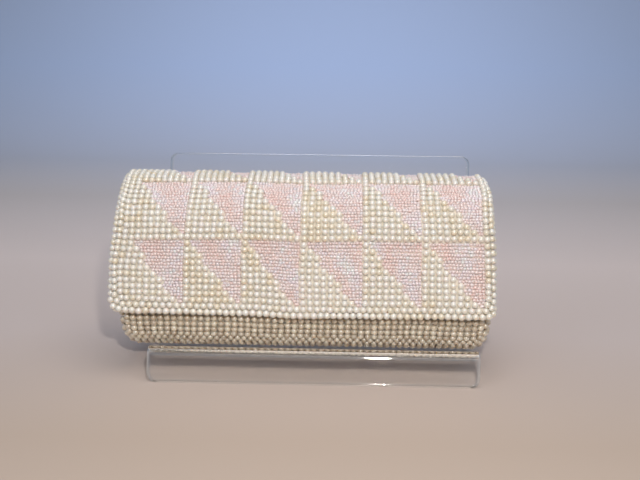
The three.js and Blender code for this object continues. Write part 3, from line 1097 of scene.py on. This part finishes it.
    def rows(self) -> Iterable[tuple[int, np.ndarray]]:
        """Lays the pearls of each row across the flap.

        Returns:
            Each row's number and the places across of its pearls, side borders included.
        """
        patterned = self.bands * self.band_rows
        for row in range(patterned + self.back_rows):
            step = row % self.band_rows
            pearls = self.square_pearls
            if row < patterned and step:
                pearls = self.triangle_pearls[step - 1]
            places = [
                self.column_across(square, pearl + 0.5)
                for square in range(self.squares)
                for pearl in range(pearls)
            ]
            tuck = self.corner_tuck if row == 1 else 0.0
            borders = [tuck - self.left.columns[0], self.right.columns[0] - tuck]
            yield row, np.array(places + borders)

    def build_pearls(self, material: bpy.types.Material) -> list[bpy.types.Object]:
        """Builds the pearls of the front, of the crest and back, and of the edge.

        Args:
            material: The pearls' finish.

        Returns:
            The three pieces.
        """
        rng = np.random.default_rng(self.pearl_seed)
        front, crest, edge = BeadField(FINE_BALL), BeadField(FINE_BALL), BeadField(FINE_BALL)
        split = 2 * self.band_rows
        for row, places in self.rows():
            if row:
                up = np.full(len(places), self.row_up(row))
                self.sew(front if row < split else crest, places, up, rng)
        for number in (INNER_RING, EDGE_RING):
            across, up = self.ring(number, self.bead_step)
            high = up > self.row_up(split - 0.5)
            low = ~high
            self.sew(crest, across[high], up[high], rng)
            if number == INNER_RING:
                self.sew(front, across[low], up[low], rng)
                continue
            bottom = up < self.corner_radii[EDGE_RING]
            self.sew(front, across[low & ~bottom], up[low & ~bottom], rng)
            self.sew(edge, across[bottom], up[bottom], rng, self.edge_scale)
        fields = (
            (front, "flap_front_pearls", "flap_pearls"),
            (crest, "flap_crest_pearls", "flap_pearls"),
            (edge, "edge_pearls", "flap_edge_pearls"),
        )
        return [
            settle(beads.build(name, self.panel, material), Slot.PEARL, node)
            for beads, name, node in fields
        ]

    def build_seeds(self, material: bpy.types.Material) -> list[bpy.types.Object]:
        """Builds the seed beads of the triangular windows, one piece for each band.

        Args:
            material: The seed beads' finish.

        Returns:
            A piece for each band, the lowest first.
        """
        rng = np.random.default_rng(self.string_seed)
        pieces = []
        shortest, longest = 1 - self.seed_spread, 1 + self.seed_spread
        for band, name in enumerate(self.band_names):
            beads = BeadField(SEED_BARREL)
            rows = enumerate(self.triangle_pearls, start=1)
            for (row, pearls), string, square in product(rows, self.seed_strings, range(self.squares)):
                up = self.row_up(band * self.band_rows + row + string)
                low = self.column_across(square, pearls - string / 2 + self.seed_start)
                high = self.column_across(square, self.square_pearls) - self.seed_margin
                lengths = self.seed_step * rng.uniform(shortest, longest, self.seed_draws)
                ends = np.cumsum(lengths)
                count = max(1, int(np.searchsorted(ends, high - low)))
                fit = (high - low) / ends[count - 1]
                across = low + (ends - lengths / 2)[:count] * fit
                self.sew_seeds(beads, across, lengths[:count] * fit, up, rng)
            nodes = [f"seed_panel_{band + 1}_{square + 1}" for square in range(self.squares)]
            piece = beads.build(f"seed_band_{name}", self.panel, material)
            pieces.append(settle(piece, Slot.SEED, *nodes))
        return pieces

    def sew_seeds(
        self,
        beads: BeadField,
        across: np.ndarray,
        lengths: np.ndarray,
        up: float,
        rng: np.random.Generator,
    ) -> None:
        """Sews one short string of seed beads.

        Args:
            beads: The field that they join.
            across: Places across.
            lengths: The beads' lengths along the string.
            up: The string's place up the flap.
            rng: Source of the small unevenness.
        """
        count = len(across)
        uneven = rng.normal(0, self.seed_stray, (3, count))
        lines = np.full(count, up) + self.row_waver.at(across, up) + uneven[0]
        # The strings ride over each other, and two near ones never in the same way
        lines += self.lift_share * self.heave.at(across, up * self.heave_stretch[1])
        depth = self.seed_depth - self.heave.at(across * self.heave_stretch[0], up) + uneven[1]
        shift = across + self.column_waver.at(across, up) + self.lift_share * uneven[2]
        points, _ = self.place(shift, lines, depth)
        turned = rng.normal(0, self.seed_twist, count)
        ahead, _ = self.place(shift + 0.5, lines + 0.5 * turned, depth)
        axes = ahead - points
        axes /= np.linalg.norm(axes, axis=1, keepdims=True)
        radii = self.seed_height / 2 * (1 + rng.normal(0, self.seed_size_spread, count))
        tints = self.seed_tint + self.patches.at(across, up)
        tints += rng.normal(0, self.tint_spread, count)
        stretches = lengths / (self.seed_span * radii)
        beads.add(points, axes, radii, np.clip(tints, 0, 1), stretches)

    def build_satin(self, material: bpy.types.Material) -> bpy.types.Object:
        """Builds the flap's satin as one folded sheet behind its beads.

        Args:
            material: The satin.

        Returns:
            The sheet. Its flat size is logged.
        """
        width, height = self.satin_grid
        ends = (self.left, self.right)
        left, right = (end.columns[EDGE_RING] + self.satin_beyond for end in ends)
        across = np.linspace(-left, right, width)
        top = self.shape.flap_line.length - self.satin_short
        up = np.linspace(self.satin_beyond, top, height)
        grid_across, grid_up = (grid.ravel() for grid in np.meshgrid(across, up))
        front = self.shape.pearl + self.shape.gap - self.puff
        layers = [
            self.place(grid_across, grid_up, depth)[0] for depth in (front, front + self.shape.fabric)
        ]
        cells = np.arange(width * height).reshape(height, width)
        quads = np.stack([cells[:-1, :-1], cells[:-1, 1:], cells[1:, 1:], cells[1:, :-1]], axis=-1)
        quads = quads.reshape(-1, 4)
        rim = np.concatenate([cells[0, :-1], cells[:-1, -1], cells[-1, :0:-1], cells[:0:-1, 0]])
        after = np.roll(rim, -1)
        walls = np.stack([rim, rim + cells.size, after + cells.size, after], axis=-1)
        faces = np.vstack([quads, quads[:, ::-1] + cells.size, walls])
        vertices = self.panel.world(np.vstack(layers))
        piece = new_piece(
            "flap_satin", vertices, faces.ravel(), np.arange(len(faces)) * 4, material
        )
        settle(piece, Slot.SATIN, "flap_cloth")
        middle = ((layers[0] + layers[1]) / 2).reshape(height, width, 3) * MM
        one, two = middle[1:, 1:] - middle[:-1, :-1], middle[1:, :-1] - middle[:-1, 1:]
        area = float(np.linalg.norm(np.cross(one, two), axis=-1).sum() / 2)
        widest = float(np.linalg.norm(np.diff(middle[0], axis=0), axis=-1).sum())
        longest = float(np.linalg.norm(np.diff(middle[:, width // 2], axis=0), axis=-1).sum())
        LOG.info("flap satin cut: %.4f by %.4f m, %.5f square metres", widest, longest, area)
        return piece


@dataclass(frozen=True)
class BeadedPouch:
    """The pouch: pearls in rows all round it, wrapped over its corners onto its two ends.

    Attributes:
        nearest: Least distance between the centres of two pearls.
        flap_cover: Height above which the flap hides the front.
        end_facing: How far a pearl must face outwards to be built with the ends, and then
            front_facing, back_facing and bottom_facing for the other zones.
        stagger_every: In each such group of rows, the row stagger_row is sewn half a pearl along.
        fill_step: Step of the search for places that are still bare.
        fill_margin: Least gap between such a pearl and the section line.
        flap_margin: Least gap between a pearl of the ends and the flap.
        flat_margin: How far the rows of the ends reach into the rounding.
        swell: Size of the pearls as drawn, against their nominal size.
        painted_shade_brightest: The lightest tint; the pouch's pearls are painted darker as shade.
        row_seed: Start of the random draws of the rows, end_seed of the ends, and look_seed of
            the sizes and tints.
    """

    shape: BagShape
    panel: PanelFrame
    pearl_pitch: float = 4.1
    row_pitch: float = 3.87
    nearest: float = 3.42
    flap_cover: float = 29.0
    end_facing: float = 0.75
    front_facing: float = 0.2
    back_facing: float = 0.3
    bottom_facing: float = 0.9
    stagger_every: int = 7
    stagger_row: int = 3
    fill_step: float = 0.9
    fill_margin: float = 1.5
    flap_margin: float = 0.4
    flat_margin: float = 0.2
    line_steps: int = 320
    row_stray: float = 0.08
    column_stray: float = 0.1
    end_stray: float = 0.12
    swell: float = 1.045
    size_spread: float = 0.018
    # Painted shade: the pouch's pearls sit low on the tints, darker than the flap's, for the shade
    # under the flap
    tint_middle: float = 0.1
    tint_spread: float = 0.06
    painted_shade_brightest: float = 0.3
    row_seed: int = 43
    end_seed: int = 44
    look_seed: int = 45
    row_waver: Waver = Waver(seed=41, reach=0.3, wavelength=60.0)
    column_waver: Waver = Waver(seed=42, reach=0.5, wavelength=40.0)

    def zone(self, point: np.ndarray, normal: np.ndarray) -> Zone:
        """Names the zone of a pearl.

        Args:
            point: Its place in the panel frame.
            normal: Its outward direction.

        Returns:
            The zone that it is built with.
        """
        if abs(normal[0]) > self.end_facing:
            return Zone.ENDS
        if normal[1] > self.front_facing and point[2] > self.flap_cover:
            return Zone.UNDER_FLAP
        if normal[1] < -self.back_facing:
            return Zone.BACK
        if normal[2] < -self.bottom_facing:
            return Zone.BOTTOM
        return Zone.FRONT

    def wrapped(self) -> Iterable[tuple[np.ndarray, np.ndarray]]:
        """Sews rows of pearls round the pouch.

        Returns:
            Places and normals, from the middle of each row outwards.
        """
        shape = self.shape
        radius = shape.pearl / 2
        turn_radius = shape.end_rounding - radius
        centre_line = shape.pouch_line.inset(radius)
        rows = int(centre_line.length / self.row_pitch)
        rng = np.random.default_rng(self.row_seed)
        for row in range(rows):
            length = (row + 0.5) * centre_line.length / rows
            middle, normal = centre_line.at(np.array([length]))
            half = float(shape.half_length(middle[0, 1]))
            flat = half - shape.end_rounding
            reach = flat + turn_radius * math.pi / 2
            count = int(2 * reach / self.pearl_pitch)
            across = (np.arange(count) + 0.5 - count / 2) * (2 * reach / count)
            if row % self.stagger_every == self.stagger_row:
                across += self.pearl_pitch / 2
            across += self.column_waver.at(across, length) + rng.normal(0, self.column_stray, count)
            turned = np.clip((np.abs(across) - flat) / turn_radius, 0, math.pi / 2)
            side = np.sign(across)
            over = np.minimum(np.abs(across), flat) + turn_radius * np.sin(turned)
            inset = turn_radius * (1 - np.cos(turned))
            shift = self.row_waver.at(across, length) + rng.normal(0, self.row_stray, count)
            along = np.array([-normal[0, 1], normal[0, 0]])
            section = middle - normal * inset[:, None] + along * shift[:, None]
            points = np.column_stack([side * over + shape.pouch_shift, section])
            outward = np.column_stack([side * np.sin(turned), normal * np.cos(turned)[:, None]])
            order = np.argsort(np.abs(across))
            yield from zip(points[order], outward[order])

    def on_end(self, spot: np.ndarray) -> bool:
        """Says whether a place is inside the outline of an end.

        Args:
            spot: Its forward and up in the section.

        Returns:
            True where a line forward from it leaves the outline an odd number of times.
        """
        starts = self.shape.end_loop
        ends = np.roll(starts, -1, axis=0)
        edges = ends - starts
        crossing = (starts[:, 1] > spot[1]) != (ends[:, 1] > spot[1])
        span = np.where(np.abs(edges[:, 1]) < NO_HEIGHT, NO_HEIGHT, edges[:, 1])
        reach = starts[:, 0] + (spot[1] - starts[:, 1]) * edges[:, 0] / span
        return np.count_nonzero(crossing & (reach > spot[0])) % 2 == 1

    def ends(self) -> Iterable[tuple[np.ndarray, np.ndarray]]:
        """Sews pearls on the two ends, in rows first and then where room is left.

        Returns:
            Places and normals.
        """
        shape = self.shape
        radius = shape.pearl / 2
        turn_radius = shape.end_rounding - radius
        lengths = np.linspace(0, shape.pouch_line.length, self.line_steps)
        line, line_normals = shape.pouch_line.at(lengths)
        flap = shape.under_flap.points[shape.rim - 1 :]
        rng = np.random.default_rng(self.end_seed)
        flat_start = shape.end_rounding - self.flat_margin
        scans = (
            (self.row_pitch, self.pearl_pitch, self.end_stray, flat_start),
            (self.fill_step, self.fill_step, 0.0, radius + self.fill_margin),
        )
        for side, (up_step, step, stray, least) in product((-1, 1), scans):
            ups = np.arange(radius, shape.height, up_step)
            for up, forward in product(ups, np.arange(radius, shape.depth, step)):
                spot = np.array([forward, up]) + rng.normal(0, 1, 2) * stray
                if not self.on_end(spot):
                    continue
                ways = np.linalg.norm(line - spot, axis=1)
                nearest = int(ways.argmin())
                to_flap = np.linalg.norm(flap - spot, axis=1).min()
                if ways[nearest] < least or to_flap < radius + self.flap_margin:
                    continue
                lean = 1 - (ways[nearest] - radius) / turn_radius
                turned = math.acos(min(1.0, max(0.0, lean)))
                half = float(shape.half_length(spot[1])) - shape.end_rounding
                over = side * (half + turn_radius * math.sin(turned)) + shape.pouch_shift
                outward = line_normals[nearest] * math.cos(turned)
                yield np.array([over, *spot]), np.array([side * math.sin(turned), *outward])

    def has_room(self, point: np.ndarray, taken: dict[tuple[int, ...], list[np.ndarray]]) -> bool:
        """Says whether a pearl has room, and takes its place if it has.

        Args:
            point: Its centre.
            taken: Centres of the pearls so far, by cell of a grid as fine as their distance.

        Returns:
            True where no pearl is too near.
        """
        cell = np.floor(point / self.nearest).astype(int)
        for step in product((-1, 0, 1), repeat=3):
            for other in taken.get(tuple(cell + step), ()):
                if ((other - point) ** 2).sum() < self.nearest**2:
                    return False
        taken.setdefault(tuple(cell), []).append(point)
        return True

    def build_pearls(self, material: bpy.types.Material) -> list[bpy.types.Object]:
        """Builds the pouch's pearls, keeping only those that have room.

        Args:
            material: The pearls' finish.

        Returns:
            A piece for each zone.
        """
        kept: dict[Zone, list[tuple[np.ndarray, np.ndarray]]] = {zone: [] for zone in Zone}
        taken: dict[tuple[int, ...], list[np.ndarray]] = {}
        for point, normal in chain(self.wrapped(), self.ends()):
            if self.has_room(point, taken):
                kept[self.zone(point, normal)].append((point, normal))
        balls = {
            Zone.FRONT: FINE_BALL,
            Zone.ENDS: FINE_BALL,
            Zone.BACK: MIDDLE_BALL,
            Zone.BOTTOM: COARSE_BALL,
            Zone.UNDER_FLAP: COARSE_BALL,
        }
        rng = np.random.default_rng(self.look_seed)
        pieces = []
        for zone, pearls in kept.items():
            beads = BeadField(balls[zone])
            points, normals = (np.array(column) for column in zip(*pearls))
            sizes = self.swell + rng.normal(0, self.size_spread, len(points))
            # Painted shade: every pearl of the pouch is tinted darker than the flap's pearls
            tints = self.tint_middle + rng.normal(0, self.tint_spread, len(points))
            tints = np.clip(tints, 0, self.painted_shade_brightest)
            beads.add(points, normals, self.shape.pearl / 2 * sizes, tints)
            piece = beads.build(f"pouch_{zone.value}_pearls", self.panel, material)
            pieces.append(settle(piece, Slot.PEARL, "pouch_pearls"))
        return pieces


@dataclass(frozen=True)
class AcrylicStand:
    """The stand: one sheet of acrylic, bent into a back panel, a ledge and a front leg.

    Attributes:
        shift: How far the stand's middle is to the right of the bag's.
        bend: Inner radius of the two bends.
        ledge: How far the leg's front face is from the back panel's front face.
        corner_lead: How far above the leg's corner the last ring of its flat length is.
        edge_round: Rounding of the polished edges, drawn at distances of edge_steps from them.
        edge_glow: Width of the bright line along a side edge, which fades out over glow_fade.
        end_glow: The same along the top and along the leg's end.
    """

    panel: PanelFrame
    width: float = 203.0
    shift: float = 8.0
    bend: float = 3.0
    ledge: float = 60.0
    panel_corner: float = 5.0
    leg_corner: float = 6.0
    corner_lead: float = 2.0
    corner_steps: int = 8
    edge_round: float = 0.45
    edge_steps: tuple[float, ...] = (0.0, 0.13, 0.45)
    edge_glow: float = 1.2
    glow_fade: float = 1.0
    round_steps: int = 4
    end_glow: float = 1.0
    arc_steps: int = 14
    flat_steps: int = 5

    def path(self) -> tuple[np.ndarray, np.ndarray]:
        """The middle of the sheet in section, from the panel's top to the leg's end.

        Returns:
            Points of forward and up, and normals that point to the bag's side.
        """
        sheet = self.panel.sheet
        middle = self.bend + sheet / 2
        outer = self.bend + sheet
        quarter = math.pi / 2
        rear = np.linspace(2 * quarter, 3 * quarter, self.arc_steps)
        front = np.linspace(quarter, 0, self.arc_steps)
        top = self.panel.panel_height
        turns = np.linspace(0, quarter, self.corner_steps)
        edge = [top - step for step in self.edge_steps]
        corner = top - self.panel_corner * (1 - np.sin(turns))
        flat = np.linspace(top - self.panel_corner, self.bend, self.flat_steps)
        ups = np.unique(np.concatenate([edge, corner, flat]))
        points = [(-sheet / 2, up) for up in ups[::-1]]
        normals = [(1.0, 0.0)] * len(ups)
        for angle in rear[1:]:
            direction = (math.cos(angle), math.sin(angle))
            points.append((self.bend + middle * direction[0], self.bend + middle * direction[1]))
            normals.append((-direction[0], -direction[1]))
        for forward in np.linspace(self.bend, self.ledge - outer, self.flat_steps)[1:]:
            points.append((forward, -sheet / 2))
            normals.append((0.0, 1.0))
        for angle in front[1:]:
            direction = (math.cos(angle), math.sin(angle))
            points.append(
                (self.ledge - outer + middle * direction[0], middle * direction[1] - outer)
            )
            normals.append(direction)
        leg_end = self.leg_end(self.ledge - sheet / 2)
        low = leg_end + self.leg_corner
        corner = low - self.leg_corner * np.sin(turns[:-1])
        edge = [leg_end + step for step in self.edge_steps]
        for up in np.sort([low + self.corner_lead, *corner, *edge])[::-1]:
            points.append((self.ledge - sheet / 2, up))
            normals.append((1.0, 0.0))
        return np.array(points), np.array(normals)

    def leg_end(self, forward: float) -> float:
        """Height of the leg's cut, which is level with the floor.

        Args:
            forward: A place through the leg's thickness.

        Returns:
            The cut's height there.
        """
        cosine, sine = self.panel.lean
        lowest = self.bend * (sine + cosine) - (self.bend + self.panel.sheet)
        return (lowest - forward * sine) / cosine

    def build_sheet(self, material: bpy.types.Material) -> bpy.types.Object:
        """Builds the bent sheet with rounded corners and polished edges.

        Args:
            material: The acrylic.

        Returns:
            The stand's piece.
        """
        points, normals = self.path()
        thick = self.panel.sheet / 2
        top = self.panel.panel_height
        foot = self.leg_end(self.ledge - thick)
        # The cross-section of the sheet: its side face with two rounded edges, mirrored
        turns = np.linspace(0, math.pi / 2, self.round_steps)
        rounded = np.stack([np.sin(turns) - 1, 1 - np.cos(turns)], axis=1) * self.edge_round
        upper = [(-self.edge_glow - self.glow_fade, thick), (-self.edge_glow, thick)]
        upper += [(turn_in, thick - drop) for turn_in, drop in rounded]
        side = upper + [(place, -height) for place, height in reversed(upper)]
        across_edge = [1.0 if place >= -self.edge_glow else 0.0 for place, _ in side]
        edge_shares = np.array([*across_edge, *across_edge[::-1]])
        rings, shares = [], []
        for (forward, up), normal in zip(points, normals):
            half = self.width / 2
            if forward < 0:
                half -= corner_draw(self.panel_corner, top - up)
            on_leg = forward > self.ledge - 2 * thick and up < foot + self.leg_corner
            if on_leg:
                half -= corner_draw(self.leg_corner, up - foot)
            ends = min(top - up if forward < 0 else top, up - foot if on_leg else top)
            slim = 1 - corner_draw(self.edge_round, ends) / thick
            # Only in a bend does the normal point both forward and up
            bent = abs(normal[0] * normal[1]) > 0.01
            shares.append(np.ones(len(edge_shares)) if bent or ends < self.end_glow else edge_shares)
            loop = []
            for sign, order in ((1, side), (-1, side[::-1])):
                for place, height in order:
                    across = sign * (half + place)
                    spot = np.array([forward, up]) + normal * height * slim
                    if on_leg:
                        spot[1] += self.leg_end(spot[0]) - foot
                    loop.append([across, *spot])
            rings.append(loop)
        grid = np.array(rings)
        grid[:, :, 0] += self.shift
        grid[:, :, 1:] -= self.panel.gap
        count, around = grid.shape[:2]
        cells = np.arange(count * around).reshape(count, around)
        after = np.roll(cells, -1, axis=1)
        quads = np.stack([cells[:-1], after[:-1], after[1:], cells[1:]], axis=-1).reshape(-1, 4)
        loops = np.concatenate([quads.ravel(), cells[0, ::-1], cells[-1]])
        starts = np.concatenate([np.arange(len(quads)) * 4, [quads.size, quads.size + around]])
        vertices = self.panel.world(grid.reshape(-1, 3))
        piece = new_piece("bent_sheet", vertices, loops, starts, material, np.concatenate(shares))
        return settle(piece, Slot.ACRYLIC, "display_stand")


@dataclass(frozen=True)
class Lamp:
    """A round lamp with its size and places in metres and its power in watts."""

    name: str
    place: tuple[float, float, float]
    aim: tuple[float, float, float]
    size: float
    power: float
    colour: str
    spread: float = 180.0

    def build(self) -> None:
        """Hangs the lamp and turns it towards its aim."""
        data = bpy.data.lights.new(self.name, "AREA")
        data.shape = "DISK"
        data.size = self.size
        data.energy = self.power
        data.color = to_linear(self.colour)[:3]
        data.spread = math.radians(self.spread)
        lamp = bpy.data.objects.new(self.name, data)
        lamp.location = self.place
        back = np.subtract(self.place, self.aim)
        back /= np.linalg.norm(back)
        side = np.cross([0.0, 0.0, 1.0], back)
        side /= np.linalg.norm(side)
        towards = Matrix([side, np.cross(back, side), back]).transposed()
        lamp.rotation_euler = towards.to_euler()
        bpy.context.scene.collection.objects.link(lamp)


BAG_MIDDLE = (0.0, -0.02, 0.06)
BACKDROP_MIDDLE = (0.0, 1.0, 0.1)

# The small front lamp puts the white spot on each pearl, and the broad ones open the shadows
LAMPS = (
    Lamp("front", (0.07, -0.565, 0.38), BAG_MIDDLE, 0.03, 1.85, "#fffaf4"),
    Lamp("ceiling", (0.15, -0.1, 1.2), BAG_MIDDLE, 0.9, 3.8, "#fff0e0"),
    Lamp("fill", (-0.7, -0.7, 0.75), BAG_MIDDLE, 0.6, 0.8, "#e8eeff"),
    Lamp("backdrop lamp", (0.0, 0.35, 1.4), BACKDROP_MIDDLE, 0.6, 2.5, "#d0e0ff", spread=70.0),
)


@dataclass(frozen=True)
class Studio:
    """The floor, the backdrop, the lamps and the camera at the photograph's angle.

    Attributes:
        floor_half: Half the sweep's width in metres, from floor_front to a bend at bend_start.
        pale_run: Distances back between which the paper goes from its first tint to its last.
        camera_place: Millimetres across, forward and up in the stand's leaning frame.
        camera_turns: Degrees of yaw, pitch and roll in the same frame.
    """

    panel: PanelFrame
    floor_half: float = 3.0
    floor_front: float = -3.0
    bend_start: float = 0.75
    bend_radius: float = 0.4
    backdrop_height: float = 1.6
    bend_steps: int = 24
    pale_run: tuple[float, float] = (-0.3, 1.4)
    camera_place: tuple[float, float, float] = (26.57, 645.11, 24.73)
    camera_turns: tuple[float, float, float] = (1.5228, 4.0502, 1.041)
    lens: float = 53.85
    sensor: float = 36.0
    room_colour: str = "#c9d2de"
    room_strength: float = 0.62

    def build_floor(self, material: bpy.types.Material) -> None:
        """Builds the pale floor, which bends up behind the object into a cool backdrop.

        Args:
            material: The paper.
        """
        turns = np.linspace(0, math.pi / 2, self.bend_steps + 1)
        bend = np.column_stack([
            self.bend_start + self.bend_radius * np.sin(turns),
            self.bend_radius * (1 - np.cos(turns)),
        ])
        wall = self.bend_start + self.bend_radius
        start = [[self.floor_front, 0.0], [self.pale_run[0], 0.0]]
        section = np.vstack([start, bend, [wall, self.backdrop_height]])
        run = np.concatenate([[0.0], np.hypot(*np.diff(section, axis=0).T).cumsum()])
        share = np.interp(run + self.floor_front, self.pale_run, (0, 1))
        count = len(section)
        sides = [
            np.column_stack([np.full(count, across), section])
            for across in (-self.floor_half, self.floor_half)
        ]
        cells = np.arange(count - 1)
        quads = np.stack([cells, cells + count, cells + count + 1, cells + 1], axis=-1)
        floor = new_piece(
            "floor", np.vstack(sides), quads.ravel(), cells * 4, material, np.tile(share, 2)
        )
        floor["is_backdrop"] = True

    def build_camera(self) -> None:
        """Sets the camera at the place and angle that fit the photograph."""
        yaw, pitch, roll = (math.radians(turn) for turn in self.camera_turns)
        ahead = np.array(
            [-math.sin(yaw) * math.cos(pitch), -math.cos(yaw) * math.cos(pitch), math.sin(pitch)]
        )
        right = np.array([math.cos(yaw), -math.sin(yaw), 0.0])
        up = np.array([0.0, 0.0, 1.0]) - ahead * ahead[2]
        up /= np.linalg.norm(up)
        rolled_right = right * math.cos(roll) + up * math.sin(roll)
        rolled_up = up * math.cos(roll) - right * math.sin(roll)
        axes = self.panel.turn(np.array([rolled_right, rolled_up, -ahead]))
        place = self.panel.world(np.array([self.camera_place]))[0]
        data = bpy.data.cameras.new("photo_camera")
        data.lens = self.lens
        data.sensor_width = self.sensor
        data.dof.use_dof = False
        data.clip_start = 0.01
        camera = bpy.data.objects.new("photo_camera", data)
        camera.matrix_world = Matrix.Translation(place) @ Matrix(axes.T).to_4x4()
        bpy.context.scene.collection.objects.link(camera)
        bpy.context.scene.camera = camera

    def build_lights(self) -> None:
        """Adds the lamps and the pale surroundings."""
        for lamp in LAMPS:
            lamp.build()
        world = bpy.data.worlds.new("pale room")
        world.use_nodes = True
        background = world.node_tree.nodes["Background"]
        background.inputs["Color"].default_value = to_linear(self.room_colour)
        background.inputs["Strength"].default_value = self.room_strength
        bpy.context.scene.world = world
        bpy.context.scene.view_settings.view_transform = "Standard"


def dress_node(node: str, material: bpy.types.Material) -> None:
    """Gives a solid that stays visible its finish.

    Args:
        node: The solid's name.
        material: What it is made of.
    """
    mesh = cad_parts[node].data
    mesh.materials.clear()
    mesh.materials.append(material)
    LOG.info("%s keeps its solid in %s", node, material.name)


def main() -> None:
    """Builds the bag, its stand and the studio."""
    logging.basicConfig(level=logging.INFO, format="%(name)s: %(message)s")
    shape, panel = BagShape(), PanelFrame()
    pearl, seed, satin = PEARL_LACQUER.make(), LUSTRE_GLASS.make(), WOVEN_SATIN.make()
    flap = BeadedFlap(shape, panel)
    flap.build_pearls(pearl)
    flap.build_seeds(seed)
    flap.build_satin(satin)
    BeadedPouch(shape, panel).build_pearls(pearl)
    AcrylicStand(panel).build_sheet(CAST_ACRYLIC.make())
    dress_node("pouch_cloth", satin)
    dress_node("snap_clasp", NICKEL_PLATE.make())
    studio = Studio(panel)
    studio.build_floor(PAPER_SWEEP.make())
    studio.build_camera()
    studio.build_lights()
    boxes = [[list(corner) for corner in bounds] for bounds in (CAD_BOUNDS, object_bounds())]


if __name__ == "__main__":
    main()
